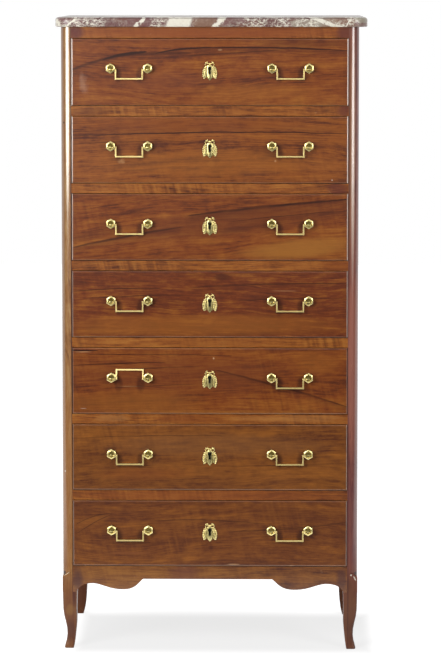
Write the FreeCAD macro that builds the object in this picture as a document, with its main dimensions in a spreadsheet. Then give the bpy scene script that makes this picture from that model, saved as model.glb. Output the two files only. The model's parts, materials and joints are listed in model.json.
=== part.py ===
import FreeCAD, Part
import math
import os
import types

import Sketcher

# A semainier: a tall narrow chest of seven equal drawers, one for each day of the week, under a marble
# slab. Two rounded front stiles run down into cabriole legs, rails part the drawers, a scalloped apron
# joins the legs, and each drawer has two swinging bail handles on hexagonal posts, a keyhole plate and
# a lock whose bolt rises into the rail above.
#
# Case frame, millimetres: x = 0 midway between the stiles, y = 0 on the front faces of stiles and
# rails with +y to the back, z = 0 on the floor. A drawer's frame has the same x and y, and z = 0 on
# the floor of its opening. Every part's Placement moves it from there to the frame of the whole piece,
# whose origin is under the middle of everything.

DRAWERS = 7
BACK_BOARDS = 4
# dovetails at each front corner of a drawer
TAILS = 3
# sides of the prisms that stand for the smallest round pins and bores
PIN_SIDES = 8
# the one bail that is thrown up and leans back against its drawer front, by its side and its drawer
FLIPPED_BAIL = ("left", 5)
# measured lengths within this many millimetres of each other agree
AGREEMENT = 1e-3

# ---------------------------------------------------------------------------------------------------
# Driving dimensions, millimetres and degrees
# ---------------------------------------------------------------------------------------------------

SIZES = {
    # the case
    "overall_height": 1500.0,
    "case_width": 700.0,
    "case_depth": 400.0,
    "case_floor": 199.1,
    # marble slab
    "marble_thickness": 22.5,
    "marble_side_overhang": 16.0,
    "marble_front_overhang": 14.0,
    "marble_back_overhang": 3.0,
    "marble_corner_radius": 36.0,
    "marble_top_round": 6.0,
    "marble_under_bevel": 2.5,
    "marble_off_centre": 3.2,
    # front stiles
    "stile_width": 24.5,
    "stile_depth": 40.0,
    "stile_round": 21.0,
    "block_top_outside": 173.0,
    "block_top_inside": 184.0,
    "block_arc": 26.0,
    "block_depth": 26.0,
    # cabriole legs: the height of each level, and how far its section lies in from the case's corner
    "leg_top": 137.0,
    "leg_top_width": 34.0,
    "knee_level": 95.0,
    "knee_out": 0.8,
    "knee_in": 32.4,
    "calf_level": 62.0,
    "calf_out": 6.8,
    "calf_in": 32.8,
    "ankle_level": 33.0,
    "ankle_out": 9.8,
    "ankle_in": 30.2,
    "toe_level": 9.0,
    "toe_out": 5.2,
    "toe_in": 27.0,
    "foot_out": 3.4,
    "foot_in": 25.6,
    "leg_edge_bevel": 5.0,
    # rear stiles and legs
    "rear_stile_width": 34.0,
    "rear_stile_depth": 32.0,
    "rear_leg_top": 150.0,
    "rear_foot_size": 25.0,
    "back_thickness": 10.0,
    "back_rebate": 12.0,
    # side frames and rear rails
    "side_rail_set_back": 2.5,
    "side_upper_rail_height": 70.0,
    "side_lower_rail_height": 62.0,
    "side_bracket_length": 38.0,
    "side_bracket_arc": 52.0,
    "panel_thickness": 8.0,
    "panel_inset": 5.0,
    "panel_groove": 7.0,
    "rear_rail_height": 55.0,
    # front rails and apron
    "top_rail_height": 26.0,
    "rail_height": 23.0,
    "rail_depth": 60.0,
    "apron_thickness": 20.0,
    "apron_height": 30.7,
    "apron_end_arc": 58.0,
    "apron_peak_from_end": 43.5,
    "apron_peak_drop": 11.5,
    "apron_peak_arc": 105.0,
    "apron_swell_from_end": 82.5,
    "apron_swell_drop": 18.0,
    "apron_swell_arc": 90.0,
    "apron_lobe_from_end": 119.5,
    "apron_lobe_drop": 24.5,
    "apron_lobe_arc": 46.0,
    "apron_drop_from_end": 147.5,
    "apron_drop": 17.0,
    "apron_straight_from_end": 167.5,
    # runners and stops
    "runner_width": 25.0,
    "runner_height": 18.0,
    "stop_width": 40.0,
    "stop_depth": 20.0,
    "stop_height": 6.0,
    "stop_from_end": 125.5,
    # drawers
    "front_gap": 1.2,
    "front_proud": 2.5,
    "front_thickness": 20.0,
    "front_edge_round": 3.0,
    "slide_gap": 0.3,
    "box_top_gap": 13.2,
    "box_rear_gap": 5.5,
    "side_thickness": 11.0,
    "box_back_thickness": 9.0,
    "bottom_thickness": 7.0,
    "bottom_raise": 10.0,
    "bottom_groove": 4.0,
    "tail_length": 12.0,
    "tail_width": 26.0,
    "tail_flare": 3.0,
    # bail handles
    "handle_from_end": 135.3,
    "post_spacing": 87.0,
    "pivot_above_middle": 6.0,
    "hex_above_pivot": 3.0,
    "hex_flats": 20.5,
    "hex_thickness": 9.0,
    "hex_bevel": 1.7,
    "hex_rim": 3.6,
    "hex_dish": 1.5,
    "shank_size": 5.0,
    "shank_stand": 5.0,
    "nut_size": 10.0,
    "nut_thickness": 4.0,
    "pin_radius": 1.9,
    "pin_clearance": 0.05,
    "pin_length": 7.0,
    "pin_end_gap": 0.5,
    "bail_side_gap": 0.35,
    "bail_drop": 21.5,
    "bail_rod": 4.2,
    "bail_lean": 17.0,
    # keyhole and its plate
    "key_above_middle": 8.4,
    "keyhole_radius": 3.5,
    "keyhole_slot": 3.8,
    "keyhole_length": 17.6,
    "key_way_gap": 0.5,
    "plate_thickness": 2.2,
    # locks
    "lock_width": 64.0,
    "lock_below_key": 22.0,
    "lock_depth": 11.0,
    "lock_wall": 1.5,
    "selvage_width": 76.0,
    "selvage_depth": 15.0,
    "selvage_thickness": 2.0,
    "key_pin_radius": 1.6,
    "bolt_width": 28.0,
    "bolt_thickness": 4.0,
    "bolt_length": 44.0,
    "bolt_notch": 8.0,
    "bolt_gap": 0.3,
    "bolt_travel": 7.0,
    "mortise_gap": 1.5,
}

# Half the outline of the keyhole plate, from its top middle down to its tip, as distances from the
# centre of the keyhole's head: a ribbon bow, a hanging leaf spray and the pointed foot of an oval
# shield. A third value is the radius of the arc to the next point, which swells outwards.
PLATE_HALF = [
    (0.0, 11.8, 0.0),
    (3.4, 14.0, 0.0),
    (9.8, 13.4, 0.0),
    (8.4, 8.0, 0.0),
    (12.6, 6.6, 26.0),
    (18.6, -12.0, 22.0),
    (12.9, -26.6, 0.0),
    (10.4, -18.8, 18.0),
    (0.0, -29.2, 0.0),
]

# ---------------------------------------------------------------------------------------------------
# Bound sizes
# ---------------------------------------------------------------------------------------------------


class Size:
    """A number with the sheet expression that gives it, so that plain arithmetic stays bound."""

    def __init__(self, number, text):
        self.number = number
        self.text = text

    def __add__(self, other):
        other = as_size(other)
        return Size(self.number + other.number, f"({self.text} + {other.text})")

    def __sub__(self, other):
        other = as_size(other)
        return Size(self.number - other.number, f"({self.text} - {other.text})")

    def __mul__(self, other):
        other = as_size(other)
        return Size(self.number * other.number, f"({self.text} * {other.text})")

    def __truediv__(self, other):
        other = as_size(other)
        return Size(self.number / other.number, f"({self.text} / {other.text})")

    def __radd__(self, other):
        return as_size(other) + self

    def __rsub__(self, other):
        return as_size(other) - self

    def __rmul__(self, other):
        return as_size(other) * self

    def __neg__(self):
        return Size(-self.number, f"(0 - {self.text})")


def as_size(value):
    """A plain number as a Size with no cell behind it."""
    return value if isinstance(value, Size) else Size(float(value), f"({float(value)})")


def root(size):
    """The square root of a Size."""
    return Size(math.sqrt(size.number), f"sqrt({size.text})")


def write_sheet(doc):
    """Put every driving dimension in its own cell and return the dimensions as Sizes."""
    sheet = doc.addObject("Spreadsheet::Sheet", "Sizes")
    found = {}
    for row, (alias, number) in enumerate(SIZES.items(), start=1):
        sheet.set(f"A{row}", alias)
        sheet.set(f"B{row}", str(number))
        sheet.setAlias(f"B{row}", alias)
        found[alias] = Size(number, f"Sizes.{alias}")
    doc.recompute()
    return types.SimpleNamespace(**found)


doc = FreeCAD.newDocument("semainier")
S = write_sheet(doc)

# ---------------------------------------------------------------------------------------------------
# Modelling helpers
# ---------------------------------------------------------------------------------------------------

PLANE_NORMAL = {"XY_Plane": 1, "XZ_Plane": -1, "YZ_Plane": 1}


def bind(thing, prop, size):
    """Drive one property of an object with a Size."""
    thing.setExpression(prop, as_size(size).text)


def place(thing, x, y, z):
    """Drive the position of an object and return it."""
    for axis, size in zip("xyz", (x, y, z)):
        bind(thing, f"Placement.Base.{axis}", size)
    return thing


def new_body(name):
    """An empty body with this name and Label."""
    return doc.addObject("PartDesign::Body", name)


def new_sketch(body, plane, level):
    """A sketch on one of the body's own planes, moved along the plane's axis to a level."""
    sketch = body.newObject("Sketcher::SketchObject", body.Name + "_sketch")
    support = [f for f in body.Origin.OriginFeatures if f.Role == plane][0]
    sketch.AttachmentSupport = [(support, "")]
    sketch.MapMode = "FlatFace"
    bind(sketch, "AttachmentOffset.Base.z", as_size(level) * PLANE_NORMAL[plane])
    return sketch


def limit(sketch, kind, *where_and_size):
    """Add one constraint whose size is bound to the sheet."""
    *where, size = where_and_size
    size = as_size(size)
    index = sketch.addConstraint(Sketcher.Constraint(kind, *where, size.number))
    sketch.setExpression(f"Constraints[{index}]", size.text)


def arc_between(start, end, radius):
    """An anticlockwise arc of the circle through two points, swelling right of the way when radius > 0."""
    middle = (start + end) / 2
    half = (end - start).Length / 2
    along = (end - start).normalize()
    right = FreeCAD.Vector(along.y, -along.x, 0)
    rise = abs(radius) - math.sqrt(max(radius * radius - half * half, 0.0))
    top = middle + right * math.copysign(rise, radius)
    return Part.Arc(start, top, end) if radius > 0 else Part.Arc(end, top, start)


def draw(sketch, corners):
    """Draw one closed outline. A corner is (x, y), or (x, y, radius) where an arc leaves it."""
    points = [FreeCAD.Vector(as_size(c[0]).number, as_size(c[1]).number, 0) for c in corners]
    first = sketch.GeometryCount
    ends = []
    for index, corner in enumerate(corners):
        start, end = points[index], points[(index + 1) % len(points)]
        radius = as_size(corner[2] if len(corner) > 2 else 0.0)
        if radius.number == 0.0:
            sketch.addGeometry(Part.LineSegment(start, end))
            ends.append((1, 2))
            continue
        sketch.addGeometry(arc_between(start, end, radius.number))
        ends.append((1, 2) if radius.number > 0 else (2, 1))
        limit(sketch, "Radius", first + index, radius if radius.number > 0 else -radius)
    for index, corner in enumerate(corners):
        after = (index + 1) % len(corners)
        sketch.addConstraint(Sketcher.Constraint(
            "Coincident", first + index, ends[index][1], first + after, ends[after][0]))
        limit(sketch, "DistanceX", -1, 1, first + index, ends[index][0], corner[0])
        limit(sketch, "DistanceY", -1, 1, first + index, ends[index][0], corner[1])


def ring(x, y, radius):
    """The corners of the prism that stands for a small round pin or bore."""
    turns = [math.tau * i / PIN_SIDES for i in range(PIN_SIDES)]
    return [(x + radius * math.cos(turn), y + radius * math.sin(turn)) for turn in turns]


def rectangle(x0, y0, x1, y1):
    """The corners of a rectangle, anticlockwise from its low corner."""
    return [(x0, y0), (x1, y0), (x1, y1), (x0, y1)]


def extrude(kind, body, plane, start, end, outlines):
    """Pad or pocket outlines from one level to another along the plane's axis."""
    start, end = as_size(start), as_size(end)
    sketch = new_sketch(body, plane, start)
    for outline in outlines:
        draw(sketch, outline)
    doc.recompute()
    before = body.Shape.Volume if not body.Shape.isNull() else 0.0
    feature = body.newObject(f"PartDesign::{kind}", f"{body.Name}_{kind.lower()}")
    feature.Profile = sketch
    forward = end.number > start.number
    bind(feature, "Length", end - start if forward else start - end)
    along_normal = forward == (PLANE_NORMAL[plane] > 0)
    feature.Reversed = not along_normal if kind == "Pad" else along_normal
    sketch.Visibility = False
    doc.recompute()
    grew = body.Shape.Volume - before
    if (kind == "Pad") != (grew > 0):
        raise ValueError(f"{feature.Name} changed the volume by {grew}")
    return feature


def pad(body, plane, start, end, *outlines):
    """Add the outlines, extruded from one level to another."""
    return extrude("Pad", body, plane, start, end, outlines)


def cut(body, plane, start, end, *outlines):
    """Take the outlines away, extruded from one level to another."""
    return extrude("Pocket", body, plane, start, end, outlines)


def dress_edges(kind, body, size, chosen):
    """Fillet or chamfer the body's edges that a test on each edge's box picks."""
    base = body.Tip
    names = [f"Edge{i + 1}" for i, e in enumerate(base.Shape.Edges) if chosen(e.BoundBox)]
    if not names:
        raise ValueError(f"no edges to dress on {body.Name}")
    dressed = body.newObject(f"PartDesign::{kind}", f"{body.Name}_{kind.lower()}")
    dressed.Base = (base, names)
    bind(dressed, "Radius" if kind == "Fillet" else "Size", size)
    doc.recompute()
    return dressed


def loft(body, stations):
    """Loft through horizontal outlines, given as (level, outline) from the first to the last."""
    sketches = []
    for level, outline in stations:
        sketch = new_sketch(body, "XY_Plane", level)
        draw(sketch, outline)
        sketches.append(sketch)
    doc.recompute()
    feature = body.newObject("PartDesign::AdditiveLoft", body.Name + "_loft")
    feature.Profile = sketches[0]
    feature.Sections = sketches[1:]
    doc.recompute()
    return feature


def board(name, low, high):
    """A sawn board between two opposite corners."""
    box = doc.addObject("Part::Box", name)
    for side, start, end in zip(("Length", "Width", "Height"), low, high):
        bind(box, side, as_size(end) - start)
    return place(box, *low)


def group(name, members, x=0.0, y=0.0, z=0.0):
    """Separate solids kept together under one name and one placement."""
    compound = doc.addObject("Part::Compound", name)
    compound.Links = members
    return place(compound, x, y, z)


def near(value, target):
    """Whether two measured lengths agree."""
    return abs(value - as_size(target).number) < AGREEMENT


# ---------------------------------------------------------------------------------------------------
# Levels and faces that several pieces share
# ---------------------------------------------------------------------------------------------------

half_case = S.case_width / 2
opening_half = half_case - S.stile_width
case_top = S.overall_height - S.marble_thickness
drawer_pitch = (case_top - S.top_rail_height + S.rail_height - S.case_floor) / DRAWERS
opening_height = drawer_pitch - S.rail_height
apron_bottom = S.case_floor - S.apron_height
rear_stile_front = S.case_depth - S.rear_stile_depth

front_half = opening_half - S.front_gap
front_bottom = S.front_gap
front_top = opening_height - S.front_gap
front_middle = opening_height / 2
front_face = -S.front_proud
front_back = S.front_thickness - S.front_proud
box_height = opening_height - S.box_top_gap
box_rear = rear_stile_front - S.box_rear_gap

pivot_height = front_middle + S.pivot_above_middle
pivot_y = front_face - S.shank_stand - S.hex_thickness / 2
handle_offset = front_half - S.handle_from_end
bail_half = (S.post_spacing - S.hex_flats) / 2 - S.bail_side_gap
key_height = front_middle + S.key_above_middle

lock_bottom = key_height - S.lock_below_key
lock_front = front_back - S.lock_depth
bolt_middle = front_back - S.lock_depth / 2

# the middle of the whole piece, between the faces of the hexagons and the back of the marble
case_x = -S.marble_off_centre
case_y = -(S.case_depth + S.marble_back_overhang + pivot_y - S.hex_thickness / 2) / 2

nodes = []


def node(thing):
    """Remember a finished sub-part under its Label, which names its file."""
    nodes.append(thing)
    return thing


def floor_of(number):
    """The floor level of a drawer's opening, counted from 1 at the top."""
    return S.case_floor + drawer_pitch * (DRAWERS - number)


# ---------------------------------------------------------------------------------------------------
# Carcass
# ---------------------------------------------------------------------------------------------------


def side_x(side, inward):
    """An x position measured inwards from the case's left (side -1) or right (side 1) face."""
    return (half_case - inward) * side


def make_front_stile(side, name):
    """A front stile and its cabriole leg, which are one piece of timber.

    The outer corner is a large quarter round down to a square block. The block's shoulder is an arc
    that rises inwards, and the leg below sweeps in to the ankle and out again at the toe.
    """
    body = new_body(name)
    outer, inner = side_x(side, 0), side_x(side, S.stile_width)
    pad(body, "XY_Plane", S.leg_top, case_top, [
        (outer - S.stile_round * side, 0, S.stile_round * side), (outer, S.stile_round),
        (outer, S.stile_depth), (inner, S.stile_depth), (inner, 0),
    ])
    pad(body, "XZ_Plane", 0, S.block_depth, [
        (outer, S.leg_top), (inner, S.leg_top), (inner, S.block_top_inside, -S.block_arc * side),
        (outer, S.block_top_outside),
    ])
    dress_edges("Chamfer", body, S.leg_edge_bevel, lambda box: near(box.XMin, outer)
                and near(box.XMax, outer) and near(box.YMax, 0) and near(box.ZMin, S.leg_top))

    def section(out, into_x, into_y):
        left, right = side_x(side, out), side_x(side, into_x)
        return [(left - S.leg_edge_bevel * side, out), (left, out + S.leg_edge_bevel),
                (left, into_y), (right, into_y), (right, out)]

    deeper = S.stile_depth - S.leg_top_width
    loft(body, [
        (S.leg_top, section(as_size(0), S.leg_top_width, S.stile_depth)),
        (S.knee_level, section(S.knee_out, S.knee_in, S.knee_in + deeper)),
        (S.calf_level, section(S.calf_out, S.calf_in, S.calf_in + deeper / 2)),
        (S.ankle_level, section(S.ankle_out, S.ankle_in, S.ankle_in)),
        (S.toe_level, section(S.toe_out, S.toe_in, S.toe_in)),
        (as_size(0), section(S.foot_out, S.foot_in, S.foot_in)),
    ])
    low, high = panel_levels()
    cut(body, "XZ_Plane", S.stile_depth, S.stile_depth - S.panel_groove,
        rectangle(*groove_x(side, 0), low, *groove_x(side, 1), high))
    return node(place(body, case_x, case_y, 0))


def panel_levels():
    """Bottom and top of a side panel, its tongues in the rails included."""
    low = apron_bottom + S.side_lower_rail_height - S.panel_groove
    return low, case_top - S.side_upper_rail_height + S.panel_groove


def groove_x(side, end):
    """The low (end 0) or high (end 1) x face of a side panel and of the grooves that hold it."""
    faces = (side_x(side, S.panel_inset), side_x(side, S.panel_inset + S.panel_thickness))
    return [sorted(faces, key=lambda size: size.number)[end]]


def make_rear_stile(side):
    """A square rear stile, rebated for the back boards, whose leg tapers on its inner faces."""
    body = new_body("rear_stile_left" if side < 0 else "rear_stile_right")
    outer, inner = side_x(side, 0), side_x(side, S.rear_stile_width)
    rebate_side = side_x(side, S.rear_stile_width - S.back_rebate)
    pad(body, "XY_Plane", S.rear_leg_top, case_top,
        [(outer, rear_stile_front), (inner, rear_stile_front), (inner, S.case_depth),
         (outer, S.case_depth)])
    foot_inner, foot_front = side_x(side, S.rear_foot_size), S.case_depth - S.rear_foot_size
    loft(body, [
        (S.rear_leg_top, [(outer, rear_stile_front), (inner, rear_stile_front),
                          (inner, S.case_depth), (outer, S.case_depth)]),
        (as_size(0), [(outer, foot_front), (foot_inner, foot_front),
                      (foot_inner, S.case_depth), (outer, S.case_depth)]),
    ])
    cut(body, "XY_Plane", apron_bottom, case_top,
        [(rebate_side, S.case_depth - S.back_thickness), (inner, S.case_depth - S.back_thickness),
         (inner, S.case_depth), (rebate_side, S.case_depth)])
    low, high = panel_levels()
    cut(body, "XZ_Plane", rear_stile_front, rear_stile_front + S.panel_groove,
        rectangle(*groove_x(side, 0), low, *groove_x(side, 1), high))
    return body


def make_side_rail(side, name, outline, groove_low, groove_high):
    """A side rail between the stiles, shaped in side view, with the groove for the panel's edge."""
    body = new_body(f"{name}_{'left' if side < 0 else 'right'}")
    inner = side_x(side, S.stile_width - S.side_rail_set_back)
    pad(body, "YZ_Plane", side_x(side, 0), inner, outline)
    cut(body, "XY_Plane", groove_low, groove_high, rectangle(
        *groove_x(side, 0), S.stile_depth, *groove_x(side, 1), rear_stile_front))
    return body


def make_side_frame(side):
    """The upper and lower rails of one side of the case."""
    low, high = panel_levels()
    upper_bottom = case_top - S.side_upper_rail_height
    lower_top = apron_bottom + S.side_lower_rail_height
    front, rear = S.stile_depth, rear_stile_front
    upper = make_side_rail(side, "side_upper_rail", rectangle(front, upper_bottom, rear, case_top),
                           high, upper_bottom)
    lower = make_side_rail(side, "side_lower_rail", [
        (front, S.leg_top, -S.side_bracket_arc), (front + S.side_bracket_length, apron_bottom),
        (rear - S.side_bracket_length, apron_bottom, -S.side_bracket_arc), (rear, S.leg_top),
        (rear, lower_top), (front, lower_top),
    ], low, lower_top)
    return [upper, lower]


def make_side_panel(side):
    """A side panel with its four edges in the grooves of the frame."""
    low, high = panel_levels()
    return board("side_panel_" + ("left" if side < 0 else "right"),
                 (*groove_x(side, 0), S.stile_depth - S.panel_groove, low),
                 (*groove_x(side, 1), rear_stile_front + S.panel_groove, high))


def make_rear_rails():
    """The upper and lower rails between the rear stiles, in front of the back boards."""
    span = half_case - S.rear_stile_width
    rear = S.case_depth - S.back_thickness
    return [
        board("rear_upper_rail", (-span, rear_stile_front, case_top - S.rear_rail_height),
              (span, rear, case_top)),
        board("rear_lower_rail", (-span, rear_stile_front, apron_bottom),
              (span, rear, apron_bottom + S.rear_rail_height)),
    ]


def make_back_boards():
    """Upright back boards, edge to edge between the rebates of the rear stiles."""
    span = half_case - S.rear_stile_width + S.back_rebate
    width = span * 2 / BACK_BOARDS
    rear = S.case_depth - S.back_thickness
    return [board(f"back_board_{i + 1}", (-span + width * i, rear, apron_bottom),
                  (-span + width * (i + 1), S.case_depth, case_top)) for i in range(BACK_BOARDS)]


def make_rail(name, height, front):
    """A front rail whose top is at z = 0, with the mortise for the lock bolt in its underside."""
    body = new_body(name)
    pad(body, "XY_Plane", 0, -height, rectangle(-opening_half, front, opening_half, S.rail_depth))
    return body


def mortise_for_bolt(body, height):
    """Cut the mortise into which the bolt of the drawer below rises."""
    half_wide = S.bolt_width / 2 + S.mortise_gap
    half_deep = S.bolt_thickness / 2 + S.mortise_gap
    depth = S.bolt_travel - S.front_gap + S.mortise_gap
    cut(body, "XY_Plane", -height, -height + depth, rectangle(
        -half_wide, bolt_middle - half_deep, half_wide, bolt_middle + half_deep))
    return body


def make_drawer_rails():
    """The top rail, the rails between the drawers and the rail behind the apron."""
    top = mortise_for_bolt(make_rail("top_rail", S.top_rail_height, 0), S.top_rail_height)
    middle = mortise_for_bolt(make_rail("middle_rail", S.rail_height, 0), S.rail_height)
    bottom = make_rail("bottom_rail", S.rail_height, S.apron_thickness)
    rails = [group("top_rail_placed", [top], z=case_top)]
    for number in range(1, DRAWERS):
        rails.append(group(f"middle_rail_{number}", [middle], z=floor_of(number)))
    rails.append(group("bottom_rail_placed", [bottom], z=S.case_floor))
    return rails


def make_apron():
    """The front apron: straight in the middle, with a lobe to each side and a bracket to each leg."""
    body = new_body("apron")

    def half(side):
        """The lower edge from the leg to the straight, for the left (side -1) or right half."""
        levels = [
            (as_size(0.0), apron_bottom - S.leg_top, -S.apron_end_arc),
            (S.apron_peak_from_end, S.apron_peak_drop, -S.apron_peak_arc),
            (S.apron_swell_from_end, S.apron_swell_drop, S.apron_swell_arc),
            (S.apron_lobe_from_end, S.apron_lobe_drop, S.apron_lobe_arc),
            (S.apron_drop_from_end, S.apron_drop, 0.0),
            (S.apron_straight_from_end, 0.0, 0.0),
        ]
        radii = [radius for _, _, radius in levels]
        if side > 0:
            levels.reverse()
            radii = list(reversed(radii[:-1])) + [0.0]
        return [((opening_half - from_end) * side, apron_bottom - drop, radius)
                for (from_end, drop, _), radius in zip(levels, radii)]

    pad(body, "XZ_Plane", 0, S.apron_thickness,
        half(-1) + half(1) + [(opening_half, S.case_floor), (-opening_half, S.case_floor)])
    return node(place(body, case_x, case_y, 0))


def make_runners():
    """The runner under each side of each drawer, from its rail to the rear stile."""
    runners = []
    for side in (-1, 1):
        xs = sorted((opening_half * side, (opening_half - S.runner_width) * side),
                    key=lambda size: size.number)
        runner = board("runner_" + ("left" if side < 0 else "right"),
                       (xs[0], S.rail_depth, -S.runner_height), (xs[1], rear_stile_front, 0))
        for number in range(1, DRAWERS + 1):
            runners.append(group(f"{runner.Name}_{number}", [runner], z=floor_of(number)))
    return runners


def make_stops():
    """Two blocks on each rail that stop the drawer front when it is home."""
    stops = []
    near_face = front_back + S.slide_gap
    for side in (-1, 1):
        middle = (opening_half - S.stop_from_end) * side
        stop = board("stop_" + ("left" if side < 0 else "right"),
                     (middle - S.stop_width / 2, near_face, 0),
                     (middle + S.stop_width / 2, near_face + S.stop_depth, S.stop_height))
        for number in range(1, DRAWERS + 1):
            stops.append(group(f"{stop.Name}_{number}", [stop], z=floor_of(number)))
    return stops


def make_marble():
    """The marble slab: round front corners, a rounded top edge and a small bevel beneath."""
    body = new_body("marble_top")
    half = half_case + S.marble_side_overhang
    front, rear = -S.marble_front_overhang, S.case_depth + S.marble_back_overhang
    corner = S.marble_corner_radius
    pad(body, "XY_Plane", case_top, S.overall_height, [
        (-half + corner, front), (half - corner, front, corner), (half, front + corner),
        (half, rear), (-half, rear), (-half, front + corner, corner),
    ])

    def outer_edge(level):
        return lambda box: near(box.ZMin, level) and near(box.ZMax, level) and not near(box.YMin, rear)

    dress_edges("Fillet", body, S.marble_top_round, outer_edge(S.overall_height))
    dress_edges("Chamfer", body, S.marble_under_bevel, outer_edge(case_top))
    return node(place(body, 0, case_y, 0))


def make_carcass():
    """Every fixed piece of the case."""
    make_front_stile(-1, "front_stile_left")
    make_front_stile(1, "front_stile_right")
    sides = (-1, 1)
    groups = {
        "rear_stiles": [make_rear_stile(side) for side in sides],
        "side_panels": [make_side_panel(side) for side in sides],
        "case_rails": [rail for side in sides for rail in make_side_frame(side)] + make_rear_rails(),
        "back_boards": make_back_boards(),
        "drawer_rails": make_drawer_rails(),
        "runners": make_runners(),
        "drawer_stops": make_stops(),
    }
    for name, members in groups.items():
        node(group(name, members, case_x, case_y, 0))
    make_apron()
    make_marble()


# ---------------------------------------------------------------------------------------------------
# Drawers
# ---------------------------------------------------------------------------------------------------


def dovetails(root_y, tip_y):
    """The dovetails at the front end of a drawer side, as (low, high) edges at root and tip."""
    pitch = (box_height - S.slide_gap) / TAILS
    tails = []
    for index in range(TAILS):
        middle = S.slide_gap + pitch * (index + 0.5)
        tails.append([
            (root_y, middle - S.tail_width / 2), (tip_y, middle - S.tail_width / 2 - S.tail_flare),
            (tip_y, middle + S.tail_width / 2 + S.tail_flare), (root_y, middle + S.tail_width / 2),
        ])
    return tails


def make_keyhole():
    """The keyhole seen from the front: a round head, drawn in short straights, over a slot."""
    radius, half = S.keyhole_radius, S.keyhole_slot / 2
    neck = root(radius * radius - half * half)
    foot = key_height + radius - S.keyhole_length
    head = []
    for degrees in (-20, 25, 70, 110, 155, 200):
        turn = math.radians(degrees)
        head.append((radius * math.cos(turn), key_height + radius * math.sin(turn)))
    return [(-half, foot), (half, foot), (half, key_height - neck), *head, (-half, key_height - neck)]


def make_key_way():
    """The plain slot behind the keyhole, wide enough for the key's bow and bit to pass."""
    half = S.keyhole_radius + S.key_way_gap
    top = key_height + half
    return rectangle(-half, top - S.keyhole_length - S.key_way_gap * 2, half, top)


def square(x, y, size):
    """The corners of a square about its centre."""
    return rectangle(x - size / 2, y - size / 2, x + size / 2, y + size / 2)


def hexagon(x, y, flats):
    """The corners of a hexagon that stands on a corner, from its width across the flats."""
    flat, corner = flats / 2, flats / root(as_size(3.0))
    return [(x + flat, y - corner / 2), (x + flat, y + corner / 2), (x, y + corner),
            (x - flat, y + corner / 2), (x - flat, y - corner / 2), (x, y - corner)]


def post_places():
    """The x of the four bail posts of a drawer."""
    return [handle_offset * side + S.post_spacing / 2 * end for side in (-1, 1) for end in (-1, 1)]


def make_drawer_front():
    """A drawer front, drilled for posts and key, mortised for the lock and socketed for its sides."""
    body = new_body("drawer_front")
    pad(body, "XZ_Plane", front_face, front_back,
        rectangle(-front_half, front_bottom, front_half, front_top))
    dress_edges("Fillet", body, S.front_edge_round,
                lambda box: near(box.YMin, front_face) and near(box.YMax, front_face))
    shanks = [square(x, pivot_height + S.hex_above_pivot, S.shank_size) for x in post_places()]
    cut(body, "XZ_Plane", front_face, front_back, *shanks, make_key_way())
    cut(body, "XZ_Plane", front_back, lock_front,
        rectangle(-S.lock_width / 2, lock_bottom, S.lock_width / 2, front_top))
    cut(body, "XZ_Plane", front_back, front_back - S.selvage_depth, rectangle(
        -S.selvage_width / 2, front_top - S.selvage_thickness, S.selvage_width / 2, front_top))
    inside = front_half - S.side_thickness
    cut(body, "XZ_Plane", front_back, front_back - S.bottom_groove, rectangle(
        -inside, S.bottom_raise, inside, S.bottom_raise + S.bottom_thickness))
    sockets = dovetails(front_back, front_back - S.tail_length)
    for side in (-1, 1):
        cut(body, "YZ_Plane", front_half * side, inside * side, *sockets)
    return body


def make_drawer_side(side):
    """A drawer side: dovetails into the front and a groove for the bottom."""
    body = new_body("drawer_side_" + ("left" if side < 0 else "right"))
    outer, inner = front_half * side, (front_half - S.side_thickness) * side
    tails = [corner for tail in dovetails(front_back, front_back - S.tail_length)
             for corner in tail]
    pad(body, "YZ_Plane", outer, inner,
        [(box_rear, box_height), (front_back, box_height)] + list(reversed(tails))
        + [(front_back, S.slide_gap), (box_rear, S.slide_gap)])
    cut(body, "YZ_Plane", inner, (front_half - S.side_thickness + S.bottom_groove) * side, rectangle(
        front_back, S.bottom_raise, box_rear, S.bottom_raise + S.bottom_thickness))
    return body


def make_drawer_box():
    """The two sides, the back and the bottom of a drawer."""
    inside = front_half - S.side_thickness
    board_top = S.bottom_raise + S.bottom_thickness
    back = board("drawer_back", (-inside, box_rear - S.box_back_thickness, board_top),
                 (inside, box_rear, box_height - S.bottom_raise))
    bottom = board("drawer_bottom",
                   (-inside - S.bottom_groove, front_back, S.bottom_raise),
                   (inside + S.bottom_groove, box_rear, board_top))
    return [make_drawer_side(-1), make_drawer_side(1), back, bottom]


def make_post(side):
    """A bail post in the frame of its handle, whose origin lies midway between the two pivots.

    The hexagon stands on a corner. It has a bevelled rim round a sunk face, and its flat towards
    the handle's middle has the bore for the bail's pin. The square shank behind it passes through
    the drawer front.
    """
    body = new_body("post_" + ("left" if side < 0 else "right"))
    x, z = S.post_spacing / 2 * side, S.hex_above_pivot
    flat = S.hex_flats / 2
    head_front, head_back = -S.hex_thickness / 2, S.hex_thickness / 2
    pad(body, "XZ_Plane", head_front, head_back, hexagon(x, z, S.hex_flats))
    dress_edges("Chamfer", body, S.hex_bevel,
                lambda box: near(box.YMin, head_front) and near(box.YMax, head_front))
    cut(body, "XZ_Plane", head_front, head_front + S.hex_dish,
        hexagon(x, z, S.hex_flats - S.hex_rim * 2))
    shank_end = head_back + S.shank_stand + S.front_thickness + S.nut_thickness
    pad(body, "XZ_Plane", head_back, shank_end, square(x, z, S.shank_size))
    bore_from = (S.post_spacing / 2 - flat) * side
    bore_to = bore_from + (S.pin_length + S.pin_end_gap) * side
    bore_corner = (S.pin_radius + S.pin_clearance) / math.cos(math.pi / PIN_SIDES)
    cut(body, "YZ_Plane", bore_from, bore_to, ring(0, 0, bore_corner))
    return body


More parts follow.
